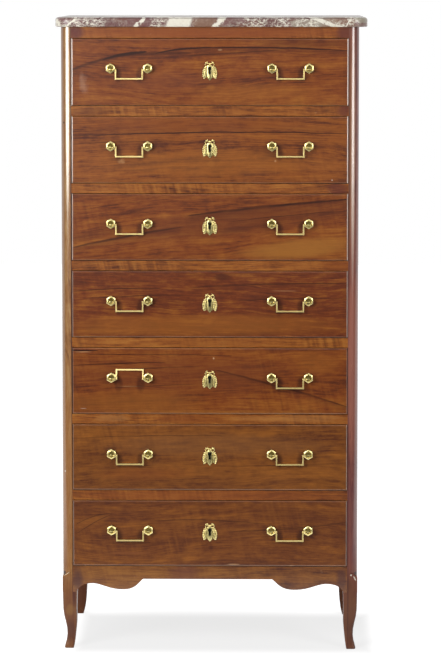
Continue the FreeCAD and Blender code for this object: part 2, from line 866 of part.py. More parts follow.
def make_nut(side):
    """The square nut that holds a post's shank behind the drawer front."""
    body = new_body("nut_" + ("left" if side < 0 else "right"))
    x, z = S.post_spacing / 2 * side, S.hex_above_pivot
    start = S.hex_thickness / 2 + S.shank_stand + S.front_thickness
    pad(body, "XZ_Plane", start, start + S.nut_thickness,
        square(x, z, S.nut_size), square(x, z, S.shank_size))
    return body


def make_keyhole_plate():
    """The cast keyhole plate: a shield under a ribbon bow, between two hanging sprays."""
    body = new_body("keyhole_plate")
    down = [(-x, key_height + z, radius) for x, z, radius in PLATE_HALF]
    up = []
    for index in range(len(PLATE_HALF) - 1, 0, -1):
        x, z, _ = PLATE_HALF[index]
        up.append((x, key_height + z, PLATE_HALF[index - 1][2]))
    outline = down[:-1] + up
    pad(body, "XZ_Plane", front_face, front_face - S.plate_thickness, outline, make_keyhole())
    return body


def make_lock_case():
    """The lock's cap, let into the drawer front, and its back plate with the key pin and selvage."""
    half_wide = S.lock_width / 2
    plate_front = front_back - S.lock_wall
    under_selvage = front_top - S.selvage_thickness
    cap = new_body("lock_cap")
    pad(cap, "XZ_Plane", lock_front, plate_front,
        rectangle(-half_wide, lock_bottom, half_wide, under_selvage))
    cut(cap, "XZ_Plane", plate_front, lock_front + S.lock_wall, rectangle(
        -half_wide + S.lock_wall, lock_bottom + S.lock_wall, half_wide - S.lock_wall, under_selvage))
    cut(cap, "XZ_Plane", lock_front, lock_front + S.lock_wall, make_key_way())
    plate = new_body("lock_plate")
    pad(plate, "XZ_Plane", front_back, plate_front,
        rectangle(-half_wide, lock_bottom, half_wide, under_selvage))
    pad(plate, "XZ_Plane", front_back, front_back - S.selvage_depth, rectangle(
        -S.selvage_width / 2, under_selvage, S.selvage_width / 2, front_top))
    half_slot = S.bolt_width / 2 + S.bolt_gap
    half_deep = S.bolt_thickness / 2 + S.bolt_gap
    cut(plate, "XY_Plane", front_top, under_selvage, rectangle(
        -half_slot, bolt_middle - half_deep, half_slot, bolt_middle + half_deep))
    pad(plate, "XZ_Plane", plate_front, lock_front + S.lock_wall,
        ring(0, key_height, S.key_pin_radius))
    return [cap, plate]


def make_lock_bolt():
    """The bolt, level with the drawer's top edge when drawn, with a notch for the key's bit."""
    body = new_body("lock_bolt")
    half, low = S.bolt_width / 2, front_top - S.bolt_length
    notch = S.bolt_notch / 2
    pad(body, "XZ_Plane", bolt_middle - S.bolt_thickness / 2, bolt_middle + S.bolt_thickness / 2, [
        (-half, low), (-notch, low), (-notch, low + S.bolt_notch), (notch, low + S.bolt_notch),
        (notch, low), (half, low), (half, front_top), (-half, front_top),
    ])
    return body


def make_bail():
    """A bail: a square-cornered loop of rod whose ends turn outwards as pins into the posts."""
    body = new_body("bail")
    half, rod = bail_half, S.bail_rod
    low = -S.bail_drop - rod / 2
    pad(body, "XZ_Plane", -rod / 2, rod / 2, [
        (-half, low), (half, low), (half, rod / 2), (half - rod, rod / 2), (half - rod, low + rod),
        (-half + rod, low + rod), (-half + rod, rod / 2), (-half, rod / 2),
    ])
    reach = S.post_spacing / 2 - S.hex_flats / 2 + S.pin_length
    for side in (-1, 1):
        pad(body, "YZ_Plane", half * side, reach * side, ring(0, 0, S.pin_radius))
    return body


def make_drawers():
    """The seven drawers, each with its own handles, keyhole plate and lock."""
    front, box = make_drawer_front(), make_drawer_box()
    plate, lock, bolt, bail = make_keyhole_plate(), make_lock_case(), make_lock_bolt(), make_bail()
    posts = group("handle_posts", [make_post(-1), make_post(1), make_nut(-1), make_nut(1)])
    mounts = [group(f"posts_{name}", [posts], handle_offset * side, pivot_y, pivot_height)
              for side, name in ((-1, "left"), (1, "right"))] + [plate]
    for number in range(1, DRAWERS + 1):
        level = floor_of(number)
        for name, members in (("drawer_front", [front]), ("drawer_box", box),
                              ("brass_mounts", mounts), ("lock_case", lock), ("lock_bolt", [bolt])):
            node(group(f"{name}_{number}", members, case_x, case_y, level))
        for side, name in ((-1, "left"), (1, "right")):
            handle = node(group(f"bail_{name}_{number}", [bail], case_x + handle_offset * side,
                                case_y + pivot_y, level + pivot_height))
            if (name, number) == FLIPPED_BAIL:
                handle.Placement.Rotation = FreeCAD.Rotation(FreeCAD.Vector(1, 0, 0), 1)
                bind(handle, "Placement.Rotation.Angle", -(S.bail_lean + 180))


# ---------------------------------------------------------------------------------------------------
# Build, check and write
# ---------------------------------------------------------------------------------------------------

make_carcass()
make_drawers()
doc.recompute()

for item in doc.Objects:
    if any(word in ("Invalid", "Error") for word in item.State):
        raise RuntimeError(f"{item.Name} failed: {item.State}")

os.makedirs("parts", exist_ok=True)
for item in nodes:
    shape = item.Shape
    if shape.isNull() or not shape.isValid() or not shape.Solids:
        raise RuntimeError(f"{item.Label} has no valid solid")
    shape.exportStep(os.path.join("parts", f"{item.Label}.step"))
    print(f"{item.Label}: {len(shape.Solids)} solids, {shape.Volume / 1000:.2f} cm3")
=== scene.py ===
"""Looks of the semainier: figured veneers, breccia marble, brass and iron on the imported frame."""

import json
import logging
import math
from collections.abc import Callable, Sequence
from dataclasses import dataclass
from enum import Enum
from functools import reduce

import bmesh
import bpy
from mathutils import Matrix, Vector

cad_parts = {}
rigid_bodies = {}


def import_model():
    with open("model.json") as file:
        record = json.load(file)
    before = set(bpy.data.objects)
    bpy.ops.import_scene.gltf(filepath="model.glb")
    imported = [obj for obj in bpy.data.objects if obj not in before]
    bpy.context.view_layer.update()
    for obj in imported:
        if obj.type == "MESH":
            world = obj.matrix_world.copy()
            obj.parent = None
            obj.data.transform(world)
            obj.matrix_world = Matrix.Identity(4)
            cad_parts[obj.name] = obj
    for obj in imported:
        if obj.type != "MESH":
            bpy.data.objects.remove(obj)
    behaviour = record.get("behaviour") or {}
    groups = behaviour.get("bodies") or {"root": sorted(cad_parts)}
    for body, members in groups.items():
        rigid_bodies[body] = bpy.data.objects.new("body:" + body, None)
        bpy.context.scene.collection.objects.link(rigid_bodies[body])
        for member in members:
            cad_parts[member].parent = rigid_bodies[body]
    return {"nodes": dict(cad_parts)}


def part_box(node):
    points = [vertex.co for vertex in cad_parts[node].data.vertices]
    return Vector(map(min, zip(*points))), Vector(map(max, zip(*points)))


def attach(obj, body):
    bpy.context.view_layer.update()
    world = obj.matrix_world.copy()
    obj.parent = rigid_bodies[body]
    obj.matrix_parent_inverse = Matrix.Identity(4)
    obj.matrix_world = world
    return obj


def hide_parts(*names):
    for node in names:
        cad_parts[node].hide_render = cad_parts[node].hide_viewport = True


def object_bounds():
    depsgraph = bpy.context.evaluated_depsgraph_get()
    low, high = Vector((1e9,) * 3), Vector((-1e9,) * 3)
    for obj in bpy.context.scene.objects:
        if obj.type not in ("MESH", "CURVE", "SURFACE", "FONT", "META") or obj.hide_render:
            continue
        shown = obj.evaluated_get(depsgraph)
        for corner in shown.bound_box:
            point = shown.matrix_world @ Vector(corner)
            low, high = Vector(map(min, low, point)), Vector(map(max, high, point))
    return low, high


logging.basicConfig(level=logging.INFO, format="%(message)s")
log = logging.getLogger("semainier")

bpy.ops.object.select_all(action="SELECT")
bpy.ops.object.delete()
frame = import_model()
CAD_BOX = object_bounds()

MM = 0.001
DRAWERS = 7
# Arrises sharper than this many degrees stay sharp in the shading: on turned and on flat work.
TURNED_ARRIS = 28.0
FLAT_ARRIS = 40.0

Triple = tuple[float, float, float]
Test = Callable[[Vector, Vector], bool]

# Colours as they are written on a shader.
CREAM: Triple = (0.77, 0.73, 0.62)
PALE_WOOD: Triple = (0.60, 0.36, 0.18)
# The next two colour the arris lines: rubbed polish and painted highlight at once.
RUBBED_GLINT: Triple = (0.95, 0.82, 0.72)
ARRIS: Triple = (0.52, 0.24, 0.07)
CASE_MIDDLE: Triple = (-0.0032, 0.0, 0.0)
GOLDEN: Triple = (0.315, 0.104, 0.014)
RED_BROWN: Triple = (0.215, 0.0505, 0.0075)
PURPLE_BROWN: Triple = (0.075, 0.016, 0.006)
NEAR_BLACK: Triple = (0.012, 0.006, 0.004)
RAW_WOOD: Triple = (0.34, 0.205, 0.10)


# ---------------------------------------------------------------------------------------------------
# Shader maths
# ---------------------------------------------------------------------------------------------------


class Value:
    """A number socket of a graph, so that an expression adds the Math nodes it needs."""

    def __init__(self, graph: "Graph", socket: bpy.types.NodeSocket) -> None:
        """Wrap one socket of a graph."""
        self.graph = graph
        self.socket = socket

    def __add__(self, other: "Value | float") -> "Value":
        """The sum."""
        return self.graph.math("ADD", self, other)

    def __radd__(self, other: float) -> "Value":
        """The sum, with a number first."""
        return self.graph.math("ADD", other, self)

    def __sub__(self, other: "Value | float") -> "Value":
        """The difference."""
        return self.graph.math("SUBTRACT", self, other)

    def __rsub__(self, other: float) -> "Value":
        """The difference, with a number first."""
        return self.graph.math("SUBTRACT", other, self)

    def __mul__(self, other: "Value | float") -> "Value":
        """The product."""
        return self.graph.math("MULTIPLY", self, other)

    def __rmul__(self, other: float) -> "Value":
        """The product, with a number first."""
        return self.graph.math("MULTIPLY", other, self)

    def __truediv__(self, other: "Value | float") -> "Value":
        """The quotient."""
        return self.graph.math("DIVIDE", self, other)

    def __pow__(self, other: float) -> "Value":
        """The power."""
        return self.graph.math("POWER", self, other)

    def __neg__(self) -> "Value":
        """The negative."""
        return self.graph.math("MULTIPLY", self, -1.0)

    def __abs__(self) -> "Value":
        """The distance from nought."""
        return self.graph.math("ABSOLUTE", self)

    def at_least(self, other: "Value | float") -> "Value":
        """The larger of the two."""
        return self.graph.math("MAXIMUM", self, other)

    def at_most(self, other: "Value | float") -> "Value":
        """The smaller of the two."""
        return self.graph.math("MINIMUM", self, other)

    def rise(self, start: float, end: float) -> "Value":
        """A smooth step.

        Args:
            start: Where it is still 0.
            end: Where it reaches 1, which may lie below the start.

        Returns:
            A value from 0 to 1.
        """
        first, last = (0.0, 1.0) if start < end else (1.0, 0.0)
        stepped = self.graph.add(
            "ShaderNodeMapRange", {"interpolation_type": "SMOOTHSTEP"},
            {"Value": self, "From Min": min(start, end), "From Max": max(start, end),
             "To Min": first, "To Max": last})
        return Value(self.graph, stepped.outputs["Result"])


class Graph:
    """The node tree of one material or world, with the few ways in which nodes are added to it."""

    def __init__(self, owner: "bpy.types.Material | bpy.types.World", places: str = "Object") -> None:
        """Start an empty tree.

        Args:
            owner: The material or world that it belongs to.
            places: The coordinates that it reads.
        """
        self.owner = owner
        self.owner.use_nodes = True
        self.tree = self.owner.node_tree
        self.tree.nodes.clear()
        self.place = self.add("ShaderNodeTexCoord", {}, {}).outputs[places]
        split = self.add("ShaderNodeSeparateXYZ", {}, {"Vector": self.place})
        self.x, self.y, self.z = (Value(self, split.outputs[axis]) for axis in "XYZ")

    def add(self, kind: str, settings: dict, sockets: dict) -> bpy.types.Node:
        """Add one node.

        Args:
            kind: The node's type.
            settings: Its own properties, set first; "stops" are a ramp's (place, colour) pairs.
            sockets: Values or links of its inputs, by name or number.

        Returns:
            The node.
        """
        node = self.tree.nodes.new(kind)
        for key, setting in settings.items():
            if key == "stops":
                self._set_stops(node, setting)
            else:
                setattr(node, key, setting)
        for key, given in sockets.items():
            link = given.socket if isinstance(given, Value) else given
            if isinstance(link, bpy.types.NodeSocket):
                self.tree.links.new(link, node.inputs[key])
            else:
                node.inputs[key].default_value = link
        return node

    @staticmethod
    def _set_stops(node: bpy.types.Node, stops: Sequence[tuple[float, Triple]]) -> None:
        """Give a colour ramp its stops.

        Args:
            node: The ramp.
            stops: Pairs of a place and a colour.
        """
        elements = node.color_ramp.elements
        for index, (position, colour) in enumerate(stops):
            element = elements[index] if index < 2 else elements.new(position)
            element.position = position
            element.color = (*colour, 1.0)

    def math(self, operation: str, *values: "Value | float") -> Value:
        """Add a Math node on up to three values."""
        node = self.add("ShaderNodeMath", {"operation": operation}, dict(enumerate(values)))
        return Value(self, node.outputs[0])

    def point(self, x: "Value | float", y: "Value | float", z: "Value | float") -> bpy.types.NodeSocket:
        """A vector from three values."""
        return self.add("ShaderNodeCombineXYZ", {}, {"X": x, "Y": y, "Z": z}).outputs[0]

    def noise(self, where: bpy.types.NodeSocket, scale: float = 1.0, detail: float = 2.0,
              rough: float = 0.5, seed: float = 0.0) -> Value:
        """Smooth noise about 0.5.

        Args:
            where: The place it is read at.
            scale: Features for each metre.
            detail: Finer layers.
            rough: How strong the finer layers are.
            seed: Which of many patterns.

        Returns:
            The noise.
        """
        node = self.add("ShaderNodeTexNoise", {"noise_dimensions": "4D"},
                        {"Vector": where, "W": seed, "Scale": scale, "Detail": detail,
                         "Roughness": rough})
        return Value(self, node.outputs["Fac"])

    def ramp(self, value: Value, stops: Sequence[tuple[float, Triple]]) -> bpy.types.NodeSocket:
        """A colour ramp over a value."""
        return self.add("ShaderNodeValToRGB", {"stops": stops}, {"Fac": value}).outputs["Color"]

    def mix(self, share: Value, first: object, second: object) -> bpy.types.NodeSocket:
        """Two colours blended by a share that is kept between 0 and 1.

        Args:
            share: How much of the second shows.
            first: A colour or a link.
            second: A colour or a link.

        Returns:
            The blended colour.
        """
        colours = {6: self._colour(first), 7: self._colour(second)}
        node = self.add("ShaderNodeMix", {"data_type": "RGBA", "clamp_factor": True},
                        {0: share, **colours})
        return node.outputs[2]

    @staticmethod
    def _colour(given: object) -> object:
        """A triple as a colour with its alpha, and anything else as it is."""
        return (*given, 1.0) if isinstance(given, tuple) and len(given) == 3 else given

    def bump(self, height: Value, depth: float, strength: float = 1.0) -> bpy.types.NodeSocket:
        """A normal tilted by a height field of this depth in metres.

        Args:
            height: The field.
            depth: How deep it goes.
            strength: How strongly it shows.

        Returns:
            The normal.
        """
        node = self.add("ShaderNodeBump", {},
                        {"Height": height, "Distance": depth, "Strength": strength})
        return node.outputs["Normal"]

    def surface(self, **sockets: object) -> bpy.types.Material:
        """Finish the material with a Principled shader.

        Args:
            **sockets: The shader's inputs, with underscores for the spaces in their names.

        Returns:
            The material.
        """
        named = {key.replace("_", " "): self._colour(given) for key, given in sockets.items()}
        shader = self.add("ShaderNodeBsdfPrincipled", {}, named)
        self.add("ShaderNodeOutputMaterial", {}, {"Surface": shader.outputs[0]})
        return self.owner


# ---------------------------------------------------------------------------------------------------
# Finishes
# ---------------------------------------------------------------------------------------------------


class Grain(Enum):
    """The way a board's grain runs."""

    ACROSS = "across"
    UPRIGHT = "upright"
    DEEP = "deep"


@dataclass(frozen=True)
class Layer:
    """Smooth noise drawn out with the grain, in features for each metre along, across and into it."""

    along: float
    across: float
    deep: float
    detail: float
    rough: float
    seed: float = 0.0

    def on(self, g: Graph, along: Value, across: Value, deep: Value, seed: float) -> Value:
        """This layer's noise, about 0.5, at places along a board's grain, across it and into it."""
        where = g.point(along * self.along, across * self.across, deep * self.deep)
        return g.noise(where, 1.0, self.detail, self.rough, seed + self.seed)


# A veneer's figure, from its broadest layer to its finest, and then where its ripple lies.
DRIFT = Layer(1.7, 5.0, 5.0, 3.0, 0.5)
FIGURE = Layer(1.2, 20.0, 10.0, 4.0, 0.55, 3)
BANDS = Layer(2.6, 90.0, 30.0, 4.0, 0.6, 5)
LINES = Layer(6.0, 260.0, 90.0, 3.0, 0.65, 6)
FIBRE = Layer(16.0, 700.0, 300.0, 2.0, 0.6, 7)
MOTTLE = Layer(26.0, 75.0, 40.0, 5.0, 0.7, 8)
PORES = Layer(60.0, 1500.0, 800.0, 1.0, 0.5, 9)
RIPPLED = Layer(5.0, 7.0, 7.0, 2.0, 0.5, 13)
# A plain board's.
BOARD_DRIFT = Layer(1.5, 4.0, 4.0, 2.0, 0.5)
BOARD_RINGS = Layer(1.2, 60.0, 60.0, 4.0, 0.6, 2)
BOARD_FIBRE = Layer(20.0, 600.0, 600.0, 2.0, 0.6, 4)

# How far the grain wanders across a board, and where a tone is dark, middling and light.
WANDER = 0.09
TONE_STOPS = (0.1, 0.5, 0.9)
# The pale lines, partly wear and partly painted highlight, along a drawer front's left, right, upper and
# lower arrises.
ARRIS_WIDTHS = (0.0024, 0.0024, 0.0020, 0.0022)
# Painted shadow of the bails: the bails' middle from the drawer's, their arms' from that, its height and its
# reach.
BAIL_OFF, ARM_OFF, BAIL_SHADOW_HEIGHT = 0.189, 0.026, -0.008
BAIL_SHADOW_REACH = (0.0105, 0.019)
# The painted shade in the keyhole: its middle above the drawer's, and its reach.
KEYHOLE_SHADE_HEIGHT = 0.0015
KEYHOLE_SHADE_REACH = (0.0056, 0.0125)


def oval(x: Value, z: Value, reach: Sequence[float]) -> Value:
    """How far out a place lies from the middle of an oval: 1 on its edge."""
    return (x / reach[0]) ** 2.0 + (z / reach[1]) ** 2.0


@dataclass(frozen=True)
class Streak:
    """A dark line in the figure, from one end to the other along a bent path.

    Places are millimetres right of the board's middle and above it, the bend lifts the middle of the
    path, and the shade is a darker band that spreads below the line, or above it where it is negative.
    """

    start: tuple[float, float]
    end: tuple[float, float]
    bend: float = 0.0
    width: float = 1.5
    depth: float = 0.8
    shade: float = 0.0
    spread: float = 18.0


@dataclass(frozen=True)
class Patch:
    """A soft patch of another tone, in millimetres from the board's middle; some on the stiles are painted
    highlights and shadows.
    """

    at: tuple[float, float]
    reach: tuple[float, float]
    tone: Triple = GOLDEN
    strength: float = 0.5
    climb: float = 0.0
    broken: float = 0.8


@dataclass(frozen=True)
class Veneer:
    """French-polished, figured red-brown wood with dark pores, ripple, and rubbed arrises that also carry
    painted highlights.
    """

    name: str
    grain: Grain = Grain.ACROSS
    dark: Triple = PURPLE_BROWN
    base: Triple = RED_BROWN
    light: Triple = GOLDEN
    tilt: float = 0.0
    ripple: float = 0.4
    contrast: float = 1.0
    lined: float = 0.9
    gloss: float = 0.95
    coat_index: float = 1.75
    seed: float = 0.0
    middle: Triple = (0.0, 0.0, 0.0)
    half: tuple[float, float] = (0.0, 0.0)
    raw_from: float = 0.0
    dull_below: float = 0.0
    # Strengths of the pale arris lines, left, right, upper and lower: partly wear, partly painted highlight.
    glints: tuple[float, float, float, float] = (0.2, 0.2, 0.3, 0.3)
    # Whether the front gets painted shadows beside its bails and a painted shade in its keyhole.
    handled: bool = False
    streaks: tuple[Streak, ...] = ()
    patches: tuple[Patch, ...] = ()

    def make(self) -> bpy.types.Material:
        """Build the material.

        Returns:
            The material.
        """
        g = Graph(bpy.data.materials.new(self.name))
        along, across, deep = self._axes(g)
        slope = across + along * math.tan(math.radians(self.tilt))
        flow = slope + (DRIFT.on(g, along, slope, deep, self.seed) - 0.5) * WANDER
        figure, bands, lines, fibre, mottle, pores = (
            layer.on(g, along, flow, deep, self.seed)
            for layer in (FIGURE, BANDS, LINES, FIBRE, MOTTLE, PORES))
        weighed = ((figure, 1.0), (bands, 0.7), (lines, self.lined), (mottle, 1.3), (fibre, 1.1))
        tone = sum((noise - 0.5) * weight for noise, weight in weighed) * self.contrast
        colour = g.ramp(tone + 0.5, list(zip(TONE_STOPS, (self.dark, self.base, self.light))))
        contour = abs(bands - 0.5).rise(0.022, 0.0) * figure.rise(0.56, 0.40)
        colour = g.mix(contour * (self.contrast * 0.3), colour, self.dark)
        colour = self._lay_ripple(g, colour, along, across, deep)
        for number, patch in enumerate(self.patches):
            colour = self._lay_patch(g, colour, patch, along, across, number)
        for number, streak in enumerate(self.streaks):
            colour = self._lay_streak(g, colour, streak, along, across, number)
        if self.handled:
            colour = self._paint_shade_round_mounts(g, colour)
        open_pores = pores.rise(0.37, 0.22)
        colour = g.mix(open_pores * 0.45, colour, self.dark)
        colour, wear_and_glint = self._rub_and_glint_edges(g, colour)
        raw = (g.y - self.raw_from).rise(0.0, 0.002) if self.raw_from else 0.0
        if self.raw_from:
            colour = g.mix(raw, colour, g.mix(fibre, tuple(part * 0.6 for part in RAW_WOOD), RAW_WOOD))
        cloud = g.noise(g.place, 8.0, 3.0, 0.55, self.seed + 17)
        rough = (0.36 + (cloud - 0.5) * 0.2 + open_pores * 0.12 + wear_and_glint * 0.12).at_least(raw * 0.7)
        height = (fibre * 0.25 - open_pores * 0.35
                  + g.noise(g.place, 13.0, 2.0, 0.4, self.seed + 19) * 2.0)
        coat = (self.gloss - wear_and_glint * 0.8 - raw * 0.9).at_least(0.0)
        if self.dull_below:
            coat = coat * g.z.rise(self.dull_below * 0.4, self.dull_below)
        return g.surface(Base_Color=colour, Roughness=rough, Coat_Weight=coat,
                         Coat_Roughness=0.15, Coat_IOR=self.coat_index, Specular_IOR_Level=0.25,
                         Normal=g.bump(height, 0.00016, 0.6))

    def _axes(self, g: Graph) -> tuple[Value, Value, Value]:
        """The places along the grain, across it on the face, and into the board."""
        x, y, z = (value - centre for value, centre in zip((g.x, g.y, g.z), self.middle))
        return {Grain.ACROSS: (x, z, y), Grain.UPRIGHT: (z, x, y), Grain.DEEP: (y, z, x)}[self.grain]

    def _lay_ripple(self, g: Graph, colour: bpy.types.NodeSocket, along: Value, across: Value,
                    deep: Value) -> bpy.types.NodeSocket:
        """Lay fiddleback ripple across the grain, in patches.

        Args:
            g: The material's graph.
            colour: The colour so far.
            along: Places along the grain.
            across: Places across it.
            deep: Places into the wood.

        Returns:
            The colour with it laid on.
        """
        curl = g.noise(g.point(along * 125.0 + across * 28.0, across * 9.0, deep * 9.0), 1.0, 1.0, 0.4,
                       self.seed + 11)
        spots = RIPPLED.on(g, along, across, deep, self.seed)
        share = (curl - 0.5) * spots.rise(0.40, 0.66) * (self.ripple * 2.4)
        colour = g.mix(share.at_least(0.0), colour, self.light)
        return g.mix((-share).at_least(0.0), colour, self.dark)

    def _lay_patch(self, g: Graph, colour: bpy.types.NodeSocket, patch: Patch, along: Value,
                   across: Value, number: int) -> bpy.types.NodeSocket:
        """Lay one soft patch over the colour.

        Args:
            g: The material's graph.
            colour: The colour so far.
            patch: The patch.
            along: Places along the grain.
            across: Places across it.
            number: Which patch of the board, for its noise.

        Returns:
            The colour with it laid on.
        """
        along_off = along - patch.at[0] * MM
        across_off = across - patch.at[1] * MM - along_off * patch.climb
        reach = [length * MM for length in patch.reach]
        edge = g.noise(g.point(along * (0.7 / reach[0]), across * (0.7 / reach[1]), float(number)),
                       1.0, 4.0, 0.6, self.seed + number)
        off = oval(along_off, across_off, reach) + (edge - 0.5) * patch.broken * 2.0
        return g.mix(off.rise(1.1, 0.0) * patch.strength, colour, patch.tone)

    def _lay_streak(self, g: Graph, colour: bpy.types.NodeSocket, streak: Streak, along: Value,
                    across: Value, number: int) -> bpy.types.NodeSocket:
        """Lay one dark streak over the colour.

        Args:
            g: The material's graph.
            colour: The colour so far.
            streak: The streak.
            along: Places along the grain.
            across: Places across it.
            number: Which streak of the board, for its noise.

        Returns:
            The colour with it laid on.
        """
        (x0, z0), (x1, z1) = [[length * MM for length in end] for end in (streak.start, streak.end)]
        share = (along - x0) / (x1 - x0)
        path = share * (z1 - z0) + z0 + share * (1.0 - share) * (4.0 * streak.bend * MM)
        wobble = g.noise(g.point(along * 11.0, float(number), 0.0), 1.0, 4.0, 0.6, self.seed + number)
        off = across - path + (wobble - 0.5) * 0.007
        width = streak.width * MM
        broken = g.noise(g.point(along * 9.0, across * 70.0, float(number)), 1.0, 3.0, 0.6, self.seed + 20)
        ends = share.rise(-0.01, 0.05) * share.rise(1.01, 0.95)
        taper = (share * (1.0 - share) * 4.0).at_least(0.03) ** 0.5
        core = (abs(off) / taper).rise(width, width * 0.1) * ends * (broken * 1.4 + 0.15) * streak.depth
        colour = g.mix(core * 1.3, colour, tuple(part * 0.4 for part in self.dark))
        if not streak.shade:
            return colour
        side = off if streak.shade < 0.0 else -off
        spread = streak.spread * MM
        band = side.rise(-0.001, 0.003) * side.rise(spread, 0.0) * ends * (broken + 0.35)
        return g.mix(band * abs(streak.shade), colour, self.dark)

    def _paint_shade_round_mounts(self, g: Graph, colour: bpy.types.NodeSocket) -> bpy.types.NodeSocket:
        """Paint shade on a drawer front: shadows beside its bails' arms, and near-black in its keyhole.

        Args:
            g: The material's graph.
            colour: The colour so far.

        Returns:
            The colour with it laid on.
        """
        x, z = g.x - self.middle[0], g.z - self.middle[2]
        # Painted shadows of the bail arms, darkest just beside each arm.
        off = oval(abs(abs(x) - BAIL_OFF) - ARM_OFF, z - BAIL_SHADOW_HEIGHT, BAIL_SHADOW_REACH)
        shade_breakup = g.noise(g.place, 70.0, 3.0, 0.6, self.seed + 27) * 0.7 + 0.35
        colour = g.mix(off.rise(1.4, 0.1) * shade_breakup * 0.75, colour, tuple(part * 0.6 for part in self.dark))
        # Painted near-black shade in the keyhole.
        return g.mix(oval(x, z - KEYHOLE_SHADE_HEIGHT, KEYHOLE_SHADE_REACH).rise(1.1, 0.9), colour, NEAR_BLACK)

    def _rub_and_glint_edges(self, g: Graph, colour: bpy.types.NodeSocket) -> tuple[bpy.types.NodeSocket, Value]:
        """Lighten the arrises of a board whose half width and height are given, as wear and as painted
        highlights, and darken a band inside them.

        Args:
            g: The material's graph.
            colour: The colour so far.

        Returns:
            The colour with its wear and painted highlights, and how strongly each place shows them.
        """
        rubbed = g.noise(g.place, 55.0, 4.0, 0.65, self.seed + 23)
        if not self.half[0]:
            wear_and_glint = rubbed.rise(0.62, 0.8) * 0.25
            return g.mix(wear_and_glint, colour, PALE_WOOD), wear_and_glint
        (x, _, z), (wide, high) = self.middle, self.half
        inward = (g.x - (x - wide), (x + wide) - g.x, (z + high) - g.z, g.z - (z - high))
        # Pale lines along the arrises: partly wear, partly painted highlight.
        left, right, top, bottom = (
            edge.rise(width, width * 0.45) * (rubbed * 0.9 + 0.35) * strength
            for edge, width, strength in zip(inward, ARRIS_WIDTHS, self.glints))
        upright, level = left.at_least(right), top.at_least(bottom)
        near = reduce(Value.at_most, inward)
        edge_darkening = near.rise(0.016, 0.003) * rubbed.rise(0.35, 0.7) * 0.3
        colour = g.mix(level * 1.6, g.mix(edge_darkening, colour, self.dark), ARRIS)
        return g.mix(upright * 1.3, colour, RUBBED_GLINT), upright.at_least(level)


@dataclass(frozen=True)
class PlainWood:
    """Unpolished secondary wood, browned with age."""

    name: str
    grain: Grain = Grain.ACROSS
    dark: Triple = (0.17, 0.09, 0.045)
    base: Triple = RAW_WOOD
    light: Triple = (0.48, 0.32, 0.17)
    seed: float = 0.0

    def make(self) -> bpy.types.Material:
        """Build the material.

        Returns:
            The material.
        """
        g = Graph(bpy.data.materials.new(self.name))
        axes = {Grain.ACROSS: (g.x, g.z, g.y), Grain.UPRIGHT: (g.z, g.x, g.y), Grain.DEEP: (g.y, g.z, g.x)}
        along, across, deep = axes[self.grain]
        drift = BOARD_DRIFT.on(g, along, across, deep, self.seed)
        rings = BOARD_RINGS.on(g, along, across + drift * 0.12, deep, self.seed)
        fibre = BOARD_FIBRE.on(g, along, across, deep, self.seed)
        grime = g.noise(g.place, 7.0, 4.0, 0.6, self.seed + 6)
        tone = (rings - 0.5) * 1.2 + (fibre - 0.5) * 0.5 + 0.5
        colour = g.ramp(tone, list(zip(TONE_STOPS, (self.dark, self.base, self.light))))
        colour = g.mix(grime.rise(0.48, 0.8) * 0.5, colour, self.dark)
        return g.surface(Base_Color=colour, Roughness=0.62 + grime * 0.2,
                         Normal=g.bump(fibre * 0.5 + rings * 0.5, 0.00025, 0.8))


